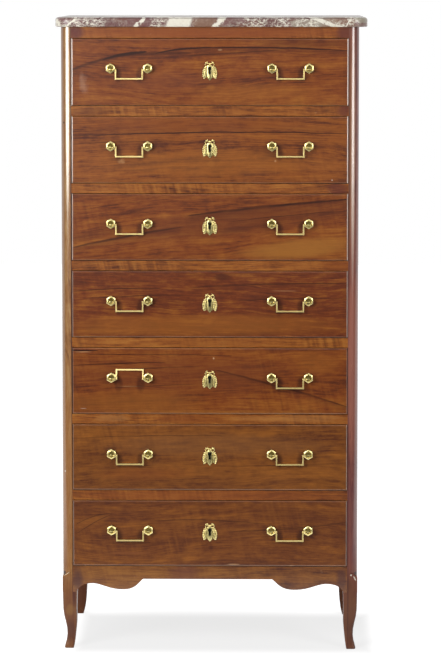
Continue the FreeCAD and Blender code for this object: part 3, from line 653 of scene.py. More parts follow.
@dataclass(frozen=True)
class BrecciaMarble:
    """Polished brecciated marble: mauve and red-brown fragments with cream and olive between them.

    The cream seams are (place along the front, half width, lean) in millimetres from the slab's
    middle, and the speckled and the tan stretches are (place along the front, half length).
    """

    name: str = "breccia_marble"
    seed: float = 4.0
    fragments: tuple[tuple[float, Triple], ...] = (
        (0.0, (0.115, 0.042, 0.038)), (0.3, (0.185, 0.085, 0.085)), (0.55, (0.15, 0.058, 0.042)),
        (0.75, (0.24, 0.15, 0.135)), (0.9, (0.33, 0.29, 0.22)))
    frosted: Triple = (0.36, 0.30, 0.25)
    tan: tuple[Triple, Triple] = ((0.15, 0.07, 0.045), (0.34, 0.22, 0.15))
    olive: Triple = (0.27, 0.25, 0.18)
    stained_cream: Triple = (0.58, 0.50, 0.34)
    dark_spot_and_shade: Triple = (0.07, 0.025, 0.03)
    seams: tuple[tuple[float, float, float], ...] = (
        (-356, 9, 0.2), (-322, 4, -1.2), (-160, 5, -0.9), (-69, 29, -0.4), (24, 9, -0.8),
        (270, 13, 2.6), (326, 3, -0.6))
    speckles: tuple[tuple[float, float], ...] = (
        (-285, 40), (-118, 18), (106, 26), (165, 22), (226, 30))
    tans: tuple[tuple[float, float], ...] = ((-12, 26), (305, 34))

    def make(self) -> bpy.types.Material:
        """Build the material.

        Returns:
            The material.
        """
        g = Graph(bpy.data.materials.new(self.name))
        warp = g.noise(g.place, 18.0, 4.0, 0.6, self.seed)
        bent = g.point(g.x + warp * 0.05, g.y + warp * 0.04, g.z * 1.6 + warp * 0.03)
        cell = g.add("ShaderNodeTexVoronoi", {"feature": "F1"},
                     {"Vector": bent, "Scale": 24.0, "Randomness": 1.0})
        kind = Value(g, g.add("ShaderNodeSeparateColor", {}, {"Color": cell.outputs["Color"]}).outputs[0])
        colour = g.ramp(kind, self.fragments)
        grain = g.noise(g.place, 170.0, 4.0, 0.65, self.seed + 2)
        colour = g.mix(grain.rise(0.42, 0.72) * 0.5, colour, self.frosted)
        seam, spotted, tanned = self._cream_seams(g)
        colour = g.mix(tanned * 0.8, colour, g.mix(grain, *self.tan))
        lace = abs(g.noise(bent, 46.0, 6.0, 0.7, self.seed + 5) - 0.5).rise(0.028, 0.0)
        ground = g.noise(g.place, 13.0, 3.0, 0.55, self.seed + 8).rise(0.46, 0.62).at_least(spotted)
        speckle = g.noise(bent, 150.0, 3.0, 0.7, self.seed + 9).rise(0.52, 0.57)
        olive = g.noise(g.place, 21.0, 4.0, 0.6, self.seed + 11).rise(0.56, 0.70) * 0.3
        colour = g.mix(olive, colour, self.olive)
        cream = seam.at_least(lace * ground * 0.95).at_least(speckle * ground * 0.95)
        colour = g.mix(cream, colour, g.mix(grain.rise(0.5, 0.68) * 0.35, CREAM, self.stained_cream))
        spots = g.noise(g.place, 420.0, 2.0, 0.5, self.seed + 14).rise(0.64, 0.74) * 0.5
        # A dark line along the rounded top arris of the front is painted shade; the spots are the stone's
        # own.
        arris_shade = (g.z - CAD_BOX[1][2]).rise(-0.0042, -0.0026) * (g.y - CAD_BOX[0][1]).rise(0.006, 0.003)
        colour = g.mix(spots.at_least(arris_shade * grain.rise(0.3, 0.5) * 0.75), colour, self.dark_spot_and_shade)
        return g.surface(Base_Color=colour, Roughness=0.27 + grain * 0.14, Coat_Weight=0.25,
                         Coat_Roughness=0.2, Normal=g.bump(grain, 0.00006, 0.5))

    def _cream_seams(self, g: Graph) -> tuple[Value, Value, Value]:
        """The cream seams, which run obliquely back over the slab, and where it is speckled or tan.

        Args:
            g: The material's graph.

        Returns:
            How far each place is seamed, speckled and tan.
        """
        wander = g.noise(g.place, 60.0, 5.0, 0.65, self.seed + 21) - 0.5
        back = g.y - CAD_BOX[0][1]
        bend = g.noise(g.place, 4.5, 3.0, 0.5, self.seed + 25) - 0.5
        oblique = g.x - CASE_MIDDLE[0] + back * 0.45 + (back * 3.0).at_most(1.0) * bend * 0.32
        depth = CAD_BOX[1][2] - g.z
        bars = []
        for place, half, lean in self.seams:
            off = abs(oblique - depth * lean + wander * 0.03 - (place - lean * 11.0) * MM)
            bars.append((off + back * bend * 0.12).rise(half * MM * 1.15, half * MM * 0.8))
        spotted, tanned = (
            reduce(Value.at_least, [
                abs(oblique + wander * 0.05 - place * MM).rise(half * MM * 1.3, half * MM * 0.7)
                for place, half in places])
            for places in (self.speckles, self.tans))
        broken = g.noise(g.place, 110.0, 4.0, 0.65, self.seed + 23).rise(0.34, 0.44)
        return reduce(Value.at_least, bars) * broken, spotted, tanned


@dataclass(frozen=True)
class CastBrass:
    """Cast and chased brass, bright on its crests and olive in its hollows.

    The crest and the hollow are the y places between which tarnish gathers.
    """

    name: str
    crest: float
    hollow: float
    polish: float = 0.3
    seed: float = 1.0
    tone: Triple = (0.92, 0.775, 0.34)
    tarnished: Triple = (0.14, 0.098, 0.018)

    def make(self) -> bpy.types.Material:
        """Build the material.

        Returns:
            The material.
        """
        g = Graph(bpy.data.materials.new(self.name))
        sunk = g.y.rise(self.crest, self.hollow)
        cloud = g.noise(g.place, 170.0, 4.0, 0.6, self.seed)
        tarnish = (sunk * 0.9 + cloud.rise(0.5, 0.8) * 0.25).at_most(0.95)
        colour = g.mix(tarnish, self.tone, self.tarnished)
        pits = g.noise(g.place, 900.0, 3.0, 0.6, self.seed + 3)
        rough = self.polish + tarnish * 0.2 + (pits - 0.5) * 0.1
        return g.surface(Base_Color=colour, Metallic=1.0, Roughness=rough,
                         Normal=g.bump(pits * 0.6 + cloud * 0.8, 0.00008, 0.5))


@dataclass(frozen=True)
class BluedIron:
    """Dark hand-filed iron with brown rust in patches."""

    name: str = "blued_iron"
    seed: float = 2.0
    metal: Triple = (0.17, 0.165, 0.16)
    rusted: Triple = (0.17, 0.075, 0.035)

    def make(self) -> bpy.types.Material:
        """Build the material.

        Returns:
            The material.
        """
        g = Graph(bpy.data.materials.new(self.name))
        files = g.noise(g.point(g.x * 300.0, g.z * 1400.0, g.y * 300.0), 1.0, 2.0, 0.5, self.seed)
        rust = g.noise(g.place, 120.0, 5.0, 0.65, self.seed + 3).rise(0.52, 0.72)
        colour = g.mix(rust * 0.8, self.metal, self.rusted)
        return g.surface(Base_Color=colour, Metallic=1.0 - rust * 0.8, Roughness=0.38 + rust * 0.4,
                         Normal=g.bump(files + rust, 0.0001, 0.7))


# ---------------------------------------------------------------------------------------------------
# Bench
# ---------------------------------------------------------------------------------------------------


class Part(Enum):
    """What is picked on a mesh."""

    VERT = "verts"
    EDGE = "edges"
    FACE = "faces"


def deselect() -> None:
    """Leave object mode with nothing selected."""
    if bpy.context.mode != "OBJECT":
        bpy.ops.object.mode_set(mode="OBJECT")
    bpy.ops.object.select_all(action="DESELECT")


def take_up(*pieces: bpy.types.Object) -> None:
    """Select these pieces alone, the first of them active.

    Args:
        *pieces: The pieces.
    """
    deselect()
    for piece in pieces:
        piece.select_set(True)
    bpy.context.view_layer.objects.active = pieces[0]


class Bench:
    """One mesh in hand, from its primitive to its finished shape."""

    def __init__(self, name: str) -> None:
        """Take up the primitive that was just added.

        Args:
            name: Its name.
        """
        self.piece = bpy.context.object
        self.piece.name = self.piece.data.name = name
        bpy.ops.object.transform_apply(location=True, rotation=True, scale=True)
        bpy.ops.object.mode_set(mode="EDIT")

    @classmethod
    def block(cls, name: str, low: Sequence[float], high: Sequence[float]) -> "Bench":
        """Start from a block between two opposite corners.

        Args:
            name: Its name.
            low: One corner.
            high: The opposite corner.

        Returns:
            The bench, in edit mode.
        """
        deselect()
        low, high = Vector(low), Vector(high)
        bpy.ops.mesh.primitive_cube_add(size=1.0, location=(low + high) / 2, scale=high - low)
        return cls(name)

    @classmethod
    def drum(cls, name: str, centre: Sequence[float], radius: float, depth: float, sides: int,
             turn: Triple) -> "Bench":
        """Start from a drum about its centre, turned from upright by three angles.

        Args:
            name: Its name.
            centre: Its middle.
            radius: Its radius.
            depth: Its length.
            sides: How many sides it has.
            turn: Its turn about x, y and z.

        Returns:
            The bench, in edit mode.
        """
        deselect()
        bpy.ops.mesh.primitive_cylinder_add(vertices=sides, radius=radius, depth=depth,
                                            location=centre, rotation=turn)
        return cls(name)

    @classmethod
    def ball(cls, name: str, centre: Sequence[float], radii: Sequence[float]) -> "Bench":
        """Start from a squeezed ball.

        Args:
            name: Its name.
            centre: Its middle.
            radii: Its three radii.

        Returns:
            The bench, in edit mode.
        """
        deselect()
        bpy.ops.mesh.primitive_uv_sphere_add(segments=16, ring_count=9, radius=1.0, location=centre,
                                             scale=radii)
        return cls(name)

    def pick(self, part: Part, test: Test) -> "Bench":
        """Select what passes a test.

        Args:
            part: Corners, edges or faces.
            test: Takes the middle and the direction of each, which is the normal of a face or a
                corner and the way that an edge runs.

        Returns:
            The bench.
        """
        bpy.ops.mesh.select_mode(type=part.name)
        bpy.ops.mesh.select_all(action="DESELECT")
        mesh = bmesh.from_edit_mesh(self.piece.data)
        mesh.normal_update()
        found = 0
        for item in getattr(mesh, part.value):
            if part is Part.FACE:
                middle, way = item.calc_center_median(), item.normal
            elif part is Part.EDGE:
                first, last = (vert.co for vert in item.verts)
                middle, way = (first + last) / 2, (last - first).normalized()
            else:
                middle, way = item.co, item.normal
            if test(middle, way):
                item.select = True
                found += 1
        if not found:
            raise ValueError(f"nothing picked on {self.piece.name}")
        mesh.select_flush_mode()
        bmesh.update_edit_mesh(self.piece.data)
        return self

    def extrude(self, shift: Sequence[float]) -> "Bench":
        """Draw the selected faces out by a shift."""
        bpy.ops.mesh.extrude_region_move(TRANSFORM_OT_translate={"value": shift})
        return self

    def move(self, shift: Sequence[float]) -> "Bench":
        """Move the selection."""
        bpy.ops.transform.translate(value=shift)
        return self

    def scale(self, factors: Triple, about: Sequence[float]) -> "Bench":
        """Scale the selection about a point."""
        bpy.ops.transform.resize(value=factors, center_override=about)
        return self

    def inset(self, width: float, depth: float = 0.0) -> "Bench":
        """Inset the selected faces, and raise them by a depth."""
        bpy.ops.mesh.inset(thickness=width, depth=depth, use_even_offset=True)
        return self

    def bevel(self, width: float, segments: int) -> "Bench":
        """Round or chamfer the selected edges."""
        bpy.ops.mesh.bevel(offset=width, segments=segments, affect="EDGES", clamp_overlap=True)
        return self

    def cut_across(self, point: Sequence[float], normal: Triple) -> "Bench":
        """Cut new edges where a plane crosses the whole mesh.

        Args:
            point: A place on the plane.
            normal: The way the plane faces.

        Returns:
            The bench.
        """
        bpy.ops.mesh.select_all(action="SELECT")
        bpy.ops.mesh.bisect(plane_co=point, plane_no=normal)
        return self

    def done(self) -> bpy.types.Object:
        """Put the mesh down and hand it over."""
        deselect()
        return self.piece


def apply_modifier(piece: bpy.types.Object, kind: str, **settings: object) -> None:
    """Add a modifier to a piece with its settings and apply it.

    Args:
        piece: The piece.
        kind: The modifier's type.
        **settings: Its properties.
    """
    take_up(piece)
    modifier = piece.modifiers.new(kind.lower(), kind)
    for key, setting in settings.items():
        setattr(modifier, key, setting)
    bpy.ops.object.modifier_apply(modifier=modifier.name)


def soften(piece: bpy.types.Object, width: float, segments: int = 2, angle: float = 35.0) -> None:
    """Round every arris sharper than an angle, and shade the piece smooth between them.

    Args:
        piece: The piece.
        width: The rounding's width.
        segments: How many faces it has across.
        angle: The least angle, in degrees.
    """
    apply_modifier(piece, "BEVEL", width=width, segments=segments, limit_method="ANGLE",
                   angle_limit=math.radians(angle), harden_normals=False, use_clamp_overlap=True)
    smooth(piece)


def smooth(piece: bpy.types.Object, angle: float = 32.0) -> None:
    """Shade a piece smooth but for its sharp arrises."""
    take_up(piece)
    bpy.ops.object.shade_smooth_by_angle(angle=math.radians(angle))


def combine(piece: bpy.types.Object, other: bpy.types.Object, operation: str) -> None:
    """Add another mesh to a piece, or cut it away, and delete it."""
    apply_modifier(piece, "BOOLEAN", operation=operation, object=other, solver="EXACT")
    bpy.data.objects.remove(other, do_unlink=True)


def join(name: str, pieces: Sequence[bpy.types.Object]) -> bpy.types.Object:
    """Join several meshes into one piece.

    Args:
        name: The name of the whole.
        pieces: The meshes, which become one.

    Returns:
        The piece.
    """
    take_up(*pieces)
    bpy.ops.object.join()
    pieces[0].name = pieces[0].data.name = name
    return pieces[0]


def copy_of(piece: bpy.types.Object, name: str, change: Matrix) -> bpy.types.Object:
    """A copy of a piece with a mesh of its own, carried over by a matrix.

    Args:
        piece: The pattern.
        name: The copy's name.
        change: The matrix.

    Returns:
        The copy.
    """
    mesh = piece.data.copy()
    mesh.transform(change)
    if change.determinant() < 0.0:
        mesh.flip_normals()
    mesh.name = name
    twin = bpy.data.objects.new(name, mesh)
    bpy.context.scene.collection.objects.link(twin)
    return twin


def fit(piece: bpy.types.Object, body: str, node: str, finish: bpy.types.Material) -> None:
    """Seat a finished piece on its body in place of a node, and dress it.

    Args:
        piece: The piece.
        body: The body that it rides on.
        node: The frame's node that it stands for.
        finish: Its material.
    """
    dress(piece, finish)
    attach(piece, body)
    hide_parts(node)
    log.info("%s on %s in place of %s", piece.name, body, node)


def dress(piece: bpy.types.Object, finish: bpy.types.Material) -> None:
    """Give every material slot of a piece this finish.

    Args:
        piece: The piece.
        finish: The material.
    """
    if not piece.material_slots:
        piece.data.materials.append(finish)
    for slot in piece.material_slots:
        slot.material = finish


def dress_nodes(finish: bpy.types.Material, *names: str) -> None:
    """Give nodes of the frame this finish.

    Args:
        finish: The material.
        *names: The nodes' names.
    """
    for name in names:
        dress(frame["nodes"][name], finish)
    log.info("%s in %s", ", ".join(names), finish.name)


# ---------------------------------------------------------------------------------------------------
# Case
# ---------------------------------------------------------------------------------------------------


@dataclass
class MarbleSlab:
    """The marble slab: round front corners, a thumb-rounded upper arris and a fine bevel below."""

    corner: float = 36.0
    corner_faces: int = 14
    top_round: float = 7.0
    under_bevel: float = 2.5
    arris: float = 0.6

    def build(self) -> None:
        """Model the slab and dress it."""
        low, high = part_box("marble_top")
        slab = Bench.block("marble_slab", low, high)
        slab.pick(Part.EDGE, lambda at, way: abs(way.z) > 0.9 and at.y < 0.0)
        slab.bevel(self.corner * MM, self.corner_faces)
        for level, width, segments in ((high.z, self.top_round, 6), (low.z, self.under_bevel, 2)):
            slab.pick(Part.EDGE, lambda at, way: abs(at.z - level) < MM / 10 and at.y < high.y - MM)
            slab.bevel(width * MM, segments)
        piece = slab.done()
        soften(piece, self.arris * MM, 2, 50.0)
        fit(piece, "carcass", "marble_top", BrecciaMarble().make())


@dataclass
class Stile:
    """A stile on the left (side -1) or the right (side 1), measured in from one of its outer corners.

    The groove for the side panel is (distance from the outer face, width, depth), in millimetres.
    """

    side: int
    groove: Triple = (5.0, 8.0, 7.0)

    @property
    def hand(self) -> str:
        """The word for its side."""
        return "left" if self.side < 0 else "right"

    def _take_corner(self, node: str, rear: bool) -> None:
        """Find the outer front corner, or the outer rear one, in a node's box.

        Args:
            node: The node's name.
            rear: Whether it is the rear corner.
        """
        low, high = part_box(node)
        self.outer = low.x if self.side < 0 else high.x
        self.face, self.way = (high.y, -1) if rear else (low.y, 1)
        self.top = high.z / MM

    def _at(self, inward: float, deep: float, level: float) -> Vector:
        """A place from millimetres in from the outer face, in from the front or rear one, and up."""
        return Vector((self.outer - inward * self.side * MM, self.face + deep * self.way * MM, level * MM))

    def _span(self, name: str, first: Triple, last: Triple) -> Bench:
        """A block between two places given as _at takes them."""
        corners = (self._at(*first), self._at(*last))
        return Bench.block(name, *([pick(pair) for pair in zip(*corners)] for pick in (min, max)))

    def _groove(self, edge: float) -> bpy.types.Object:
        """The cutter for the side panel's groove, in the edge that lies this deep.

        Args:
            edge: How deep the edge lies, in millimetres.

        Returns:
            The cutter.
        """
        low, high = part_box("side_panels")
        start, width, depth = self.groove
        return self._span("groove", (start, edge - depth, low.z / MM),
                          (start + width, edge + 1.0, high.z / MM)).done()


@dataclass
class FrontStile(Stile):
    """A front stile and its cabriole leg, which are one piece of timber.

    The levels of the leg are (height, set-back of the two outer faces, inner face's distance in,
    rear face's distance back), in millimetres from the case's outer corner, and those of the
    shoulder are (height, set-back). The arrises are the rounding of the shoulder's, of the leg's
    inner three and of its outer front one.
    """

    width: float = 24.5
    depth: float = 40.0
    corner: float = 21.0
    corner_faces: int = 14
    block_depth: float = 26.0
    block_bottom: float = 137.0
    arrises: Triple = (0.8, 1.6, 5.0)
    shoulder: tuple[tuple[float, float], ...] = (
        (173.0, 0.0), (176.5, 0.9), (179.5, 3.0), (182.0, 6.8), (183.6, 12.0), (184.4, 20.0))
    leg: tuple[tuple[float, float, float, float], ...] = (
        (137.0, 0.0, 33.9, 40.0), (118.0, 0.2, 33.1, 39.6), (95.0, 0.8, 32.6, 38.4),
        (78.0, 3.0, 33.0, 37.4), (62.0, 6.5, 32.8, 35.8), (47.0, 9.2, 31.6, 33.2),
        (33.0, 9.9, 30.2, 30.2), (20.0, 8.4, 28.8, 28.8), (9.0, 5.4, 27.2, 27.2),
        (2.5, 3.8, 26.0, 26.0), (0.0, 4.4, 25.2, 25.2))

    def build(self, finish: bpy.types.Material) -> None:
        """Model the stile and dress it.

        Args:
            finish: Its wood.
        """
        node = f"front_stile_{self.hand}"
        self._take_corner(node, rear=False)
        stile = self._column()
        combine(stile, self._block(), "UNION")
        combine(stile, self._leg(), "UNION")
        combine(stile, self._groove(self.depth), "DIFFERENCE")
        smooth(stile, TURNED_ARRIS)
        fit(stile, "carcass", node, finish)

    def _column(self) -> bpy.types.Object:
        """The quarter-round column down to the block.

        Returns:
            The column.
        """
        column = self._span(f"stile_{self.hand}", (0.0, 0.0, self.block_bottom),
                            (self.width, self.depth, self.top))
        outer = self._at(0.0, 0.0, 0.0)
        column.pick(Part.EDGE, lambda at, way: abs(way.z) > 0.9 and abs(at.x - outer.x) < MM
                    and abs(at.y - outer.y) < MM).bevel(self.corner * MM, self.corner_faces)
        return column.done()

    def _block(self) -> bpy.types.Object:
        """The square block, whose shoulder rounds over and rises inwards.

        Returns:
            The block.
        """
        first = self.shoulder[0][0]
        block = self._span("block", (0.0, 0.0, self.block_bottom), (self.width, self.block_depth, first))
        inner = self._at(self.width, 0.0, 0.0)
        before = 0.0
        for (low, _), (high, set_back) in zip(self.shoulder, self.shoulder[1:]):
            block.pick(Part.FACE, lambda at, way: way.z > 0.9)
            block.extrude((0.0, 0.0, (high - low) * MM))
            shrink = (self.width - set_back) / (self.width - before)
            block.scale((shrink, 1.0, 1.0), inner)
            before = set_back
        arris = self._at(0.0, 0.0, 0.0).y
        block.pick(Part.EDGE, lambda at, way: abs(at.y - arris) < MM / 10 and abs(way.y) < 0.1
                   and (at - self._at(0.0, 0.0, at.z / MM)).length > MM / 10 and at.z > first * MM
                   and abs(way.x) > 0.05)
        block.bevel(self.arrises[0] * MM, 2)
        return block.done()

    def _leg(self) -> bpy.types.Object:
        """The cabriole leg, drawn down from its top through each level.

        Returns:
            The leg.
        """
        top, out, into, back = self.leg[0]
        next_level = self.leg[1][0]
        leg = self._span("leg", (out, out, top), (into, back, next_level))
        for level, next_out, next_into, next_back in self.leg[1:]:
            leg.pick(Part.FACE, lambda at, way: way.z < -0.9)
            if level != next_level:
                leg.extrude((0.0, 0.0, (level - top) * MM))
            leg.scale(((next_into - next_out) / (into - out), (next_back - next_out) / (back - out), 1.0),
                      self._at(out, out, level))
            leg.move(self._at(next_out, next_out, 0.0) - self._at(out, out, 0.0))
            top, out, into, back = level, next_out, next_into, next_back
        return self._round_leg(leg)

    def _round_leg(self, leg: Bench) -> bpy.types.Object:
        """Round the leg's four long arrises, the outer front one the most.

        Args:
            leg: The leg in hand.

        Returns:
            The leg.
        """
        mesh = bmesh.from_edit_mesh(leg.piece.data)
        levels: dict[float, list[Vector]] = {}
        for vert in mesh.verts:
            levels.setdefault(round(vert.co.z / MM, 2), []).append(vert.co.copy())

        def is_outer_front(at: Vector) -> bool:
            """Whether a place lies on the outer front arris.

            Args:
                at: The place.

            Returns:
                Whether it does.
            """
            rows = sorted(levels, key=lambda level: abs(level - at.z / MM))[:2]
            xs = [co.x * -self.side for row in rows for co in levels[row]]
            ys = [co.y for row in rows for co in levels[row]]
            middle_x, middle_y = (min(xs) + max(xs)) / 2, (min(ys) + max(ys)) / 2
            return at.x * -self.side < middle_x and at.y < middle_y

        _, inner, outer = self.arrises
        leg.pick(Part.EDGE, lambda at, way: abs(way.z) > 0.4 and not is_outer_front(at)).bevel(inner * MM, 2)
        leg.pick(Part.EDGE, lambda at, way: abs(way.z) > 0.4 and is_outer_front(at)).bevel(outer * MM, 4)
        return leg.done()


@dataclass
class RearStile(Stile):
    """A rear stile, grooved for the panel and rebated for the back boards, on its curved leg.

    The levels of the leg are (height, inner face's distance in, front face's distance forward), in
    millimetres from the stile's outer rear corner.
    """

    arris: float = 1.5
    leg: tuple[Triple, ...] = (
        (166.0, 34.0, 32.0), (150.0, 34.4, 32.0), (128.0, 35.0, 31.8), (104.0, 35.2, 31.4),
        (82.0, 34.6, 30.8), (62.0, 33.7, 30.0), (46.0, 32.8, 29.2), (32.0, 31.6, 28.2),
        (20.0, 30.0, 27.0), (10.0, 27.9, 26.0), (3.0, 25.7, 25.2), (0.0, 25.0, 25.0))

    def build(self, finish: bpy.types.Material) -> None:
        """Model the stile and dress it.

        Args:
            finish: Its wood.
        """
        self._take_corner("rear_stiles", rear=True)
        level, into, fore = self.leg[0]
        stile = self._span(f"rear_stile_{self.hand}", (0.0, 0.0, level), (into, fore, self.top)).done()
        combine(stile, self._leg(), "UNION")
        combine(stile, self._groove(fore), "DIFFERENCE")
        combine(stile, self._rebate(into), "DIFFERENCE")
        smooth(stile, TURNED_ARRIS)
        fit(stile, "carcass", "rear_stiles", finish)

    def _rebate(self, into: float) -> bpy.types.Object:
        """The cutter for the rebate that holds the back boards.

        Args:
            into: The stile's width, in millimetres.

        Returns:
            The cutter.
        """
        low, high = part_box("back_boards")
        edge = low.x if self.side < 0 else high.x
        return self._span("rebate", (abs(edge - self.outer) / MM, -1.0, low.z / MM),
                          (into + 6.0, (self.face - low.y) / MM, high.z / MM + 1.0)).done()

    def _leg(self) -> bpy.types.Object:
        """The leg, drawn down through its levels, with its free arrises rounded.

        Returns:
            The leg.
        """
        top, into, fore = self.leg[0]
        leg = self._span("leg", (0.0, 0.0, top), (into, fore, top + 4.0))
        for level, next_into, next_fore in self.leg[1:]:
            leg.pick(Part.FACE, lambda at, way: way.z < -0.9).extrude((0.0, 0.0, (level - top) * MM))
            leg.scale((next_into / into, next_fore / fore, 1.0), self._at(0.0, 0.0, level))
            top, into, fore = level, next_into, next_fore
        below = (self.leg[1][0] + 1.0) * MM
        leg.pick(Part.EDGE, lambda at, way: abs(way.z) > 0.4 and at.z < below).bevel(self.arris * MM, 2)
        return leg.done()


@dataclass
class Apron:
    """The front apron, whose lower edge swells into a lobe on each side and arcs into each leg.

    The edge is (place from the middle, height), in millimetres, for the left half, and the uneven
    places are pairs of a place of the left half and the same place of the right half.
    """

    edge: tuple[tuple[float, float], ...] = (
        (158.5, 168.4), (160.5, 167.4), (166.0, 161.6), (170.0, 157.4), (174.0, 153.6), (179.0, 149.9),
        (184.5, 147.0), (190.0, 145.0), (196.0, 143.8), (204.0, 143.2), (212.5, 143.3), (221.0, 144.0),
        (230.5, 145.6), (238.0, 147.4), (246.0, 149.8), (254.0, 152.4), (261.5, 154.7), (269.0, 156.6),
        (277.0, 157.7), (285.0, 157.5), (292.5, 156.4), (298.0, 154.9), (302.5, 153.0), (306.5, 150.6),
        (310.3, 147.4), (313.0, 144.4), (315.2, 141.2), (316.6, 138.6), (317.6, 137.0))
    uneven: tuple[tuple[float, float], ...] = ((158.5, 147.0), (207.6, 202.0), (281.7, 279.0), (317.6, 317.6))

    def _right(self, place: float) -> float:
        """Where the right half, which was sawn less evenly, has a place of the left half.

        Args:
            place: How far it is from the middle.

        Returns:
            How far the same place is there.
        """
        for (start, new_start), (end, new_end) in zip(self.uneven, self.uneven[1:]):
            if place <= end:
                break
        return new_start + (place - start) / (end - start) * (new_end - new_start)

    def build(self, finish: bpy.types.Material) -> None:
        """Model the apron and dress it.

        Args:
            finish: Its wood.
        """
        low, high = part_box("apron")
        middle = (low.x + high.x) / 2
        level = self.edge[0][1] * MM
        apron = Bench.block("apron_board", (low.x, low.y, level), high)
        stations = [(middle - place * MM, height * MM) for place, height in self.edge]
        stations += [(middle + self._right(place) * MM, height * MM) for place, height in self.edge]
        for place, _ in stations:
            apron.cut_across((place, 0.0, 0.0), (1.0, 0.0, 0.0))
        for place, height in [*stations, (low.x, low.z), (high.x, low.z)]:
            apron.pick(Part.VERT, lambda at, way: abs(at.x - place) < MM / 20 and abs(at.z - level) < MM / 10
                       or abs(at.x - place) < MM / 20 and at.z < level)
            apron.move((0.0, 0.0, height - level))
        piece = apron.done()
        smooth(piece, FLAT_ARRIS)
        fit(piece, "carcass", "apron", finish)


LEG_BROWN: Triple = (0.185, 0.070, 0.034)
DARK_RED: Triple = (0.13, 0.030, 0.016)

# Places on the uprights are (height, place across), and elsewhere (place across, height), in
# millimetres from the middle of the case and from the floor.
STILES: dict[int, dict] = {
    -1: dict(
        grain=Grain.UPRIGHT, middle=CASE_MIDDLE, seed=31.0, ripple=0.15, dull_below=0.34,
        gloss=0.5, coat_index=2.2, base=(0.31, 0.135, 0.040), dark=(0.12, 0.045, 0.018),
        light=(0.42, 0.25, 0.10),
        patches=(
            Patch((1450, -347), (110, 6), (0.15, 0.045, 0.030), 0.5, 0.0, 0.3),
            Patch((820, -325.8), (1500, 2.6), (0.060, 0.016, 0.016), 0.85, 0.0, 0.15),
            Patch((1060, -347), (900, 7.5), (0.25, 0.13, 0.062), 0.85, 0.0, 0.2),
            # Painted highlight of the left lamp down the quarter-round.
            Patch((1320, -334.8), (330, 4.8), (0.85, 0.72, 0.52), 0.9, 0.0, 0.2),
            Patch((400, -338), (330, 20), (0.34, 0.140, 0.040), 0.65, 0.0, 0.5),
            Patch((70, -336), (120, 40), LEG_BROWN, 0.9, 0.0, 0.3),
            Patch((140, -322), (48, 6), (0.075, 0.020, 0.020), 0.8, 0.0, 0.4),
            Patch((92, -333), (16, 12), (0.30, 0.15, 0.05), 0.6),
            Patch((34, -332), (38, 16), (0.085, 0.030, 0.024), 0.6, 0.0, 1.2),
            # Painted shadow in the notch over the shoulder, then the shoulder's painted highlight.
            Patch((182, -346), (5, 5), NEAR_BLACK, 0.85, 0.0, 0.3),
            Patch((180.3, -339.6), (5.6, 1.7), (0.90, 0.74, 0.52), 0.95, 1.45, 0.15),
            Patch((1253, -343), (3.0, 1.8), NEAR_BLACK, 0.9, 0.0, 0.3),
            Patch((426, -343), (2.6, 1.8), CREAM, 0.8, 0.0, 0.3))),
    1: dict(
        grain=Grain.UPRIGHT, middle=CASE_MIDDLE, seed=37.0, ripple=0.15, dull_below=0.34,
        gloss=0.5, coat_index=2.2, base=(0.215, 0.068, 0.048), dark=(0.085, 0.020, 0.022),
        light=(0.26, 0.095, 0.060),
        patches=(
            Patch((1200, 329), (330, 7), (0.29, 0.13, 0.045), 0.6, 0.0, 0.8),
            Patch((150, 328), (24, 12), (0.055, 0.016, 0.016), 0.75, 0.0, 0.5),
            Patch((112, 338), (14, 12), (0.30, 0.14, 0.05), 0.6, 0.0, 1.4),
            Patch((70, 336), (150, 40), (0.145, 0.056, 0.028), 0.95, 0.0, 0.4),
            Patch((820, 327.5), (1500, 2.2), (0.050, 0.014, 0.016), 0.6, 0.0, 0.5),
            Patch((40, 336), (34, 14), (0.07, 0.025, 0.020), 0.5, 0.0, 1.4),
            Patch((700, 336), (280, 16), (0.34, 0.125, 0.085), 0.8, 0.0, 0.4),
            Patch((330, 338), (170, 20), (0.145, 0.048, 0.050), 0.5, 0.0, 0.4),
            # Painted highlight of the right lamp down the quarter-round.
            Patch((1190, 336), (360, 5.6), (0.62, 0.46, 0.36), 0.8, 0.0, 0.3),
            # Painted shadow in the notch over the shoulder, then painted highlights on the shoulder.
            Patch((182, 346), (5, 5), NEAR_BLACK, 0.8, 0.0, 0.3),
            Patch((179, 335), (2.4, 2.4), CREAM, 0.8, 0.0, 0.3),
            Patch((171, 344), (7, 2.0), CREAM, 0.8, -0.5, 0.3))),
}
RAILS: dict = dict(
    seed=47.0, middle=CASE_MIDDLE, ripple=1.0, base=(0.285, 0.084, 0.013),
    light=(0.40, 0.150, 0.026),
    patches=(
        Patch((0, 1465), (420, 18), (0.235, 0.055, 0.014), 0.8, 0.0, 0.3),
        Patch((-316, 1465), (26, 22), (0.11, 0.026, 0.026), 0.85, 0.0, 0.4),
        Patch((316, 1465), (24, 22), (0.11, 0.026, 0.022), 0.8, 0.0, 0.4),
        Patch((314, 1281), (18, 18), DARK_RED, 0.8, 0.0, 0.5),
        Patch((-268, 1281), (70, 14), PURPLE_BROWN, 0.5, 0.0, 1.8),
        Patch((300, 1099), (30, 18), DARK_RED, 0.75, 0.0, 0.6),
        Patch((296, 916), (50, 16), RED_BROWN, 0.6, 0.0, 0.8),
        Patch((-234, 552), (44, 12), (0.42, 0.18, 0.05), 0.4, 0.0, 2.8),
        Patch((170, 552), (150, 12), (0.42, 0.18, 0.05), 0.35, 0.0, 2.8),
        Patch((-40, 552), (90, 16), RED_BROWN, 0.5, 0.0, 1.0),
        Patch((0, 370), (400, 18), (0.27, 0.070, 0.013), 0.6, 0.0, 0.6),
        Patch((0, 734), (200, 18), (0.25, 0.072, 0.013), 0.5, 0.0, 0.8)))
REAR_STILES: dict = dict(
    grain=Grain.UPRIGHT, seed=41.0, dull_below=0.3,
    patches=(
        Patch((70, 0), (140, 900), (0.105, 0.030, 0.010), 0.9, 0.0, 0.2),
        Patch((120, -320), (30, 14), (0.24, 0.080, 0.016), 0.5, 0.0, 1.0)))
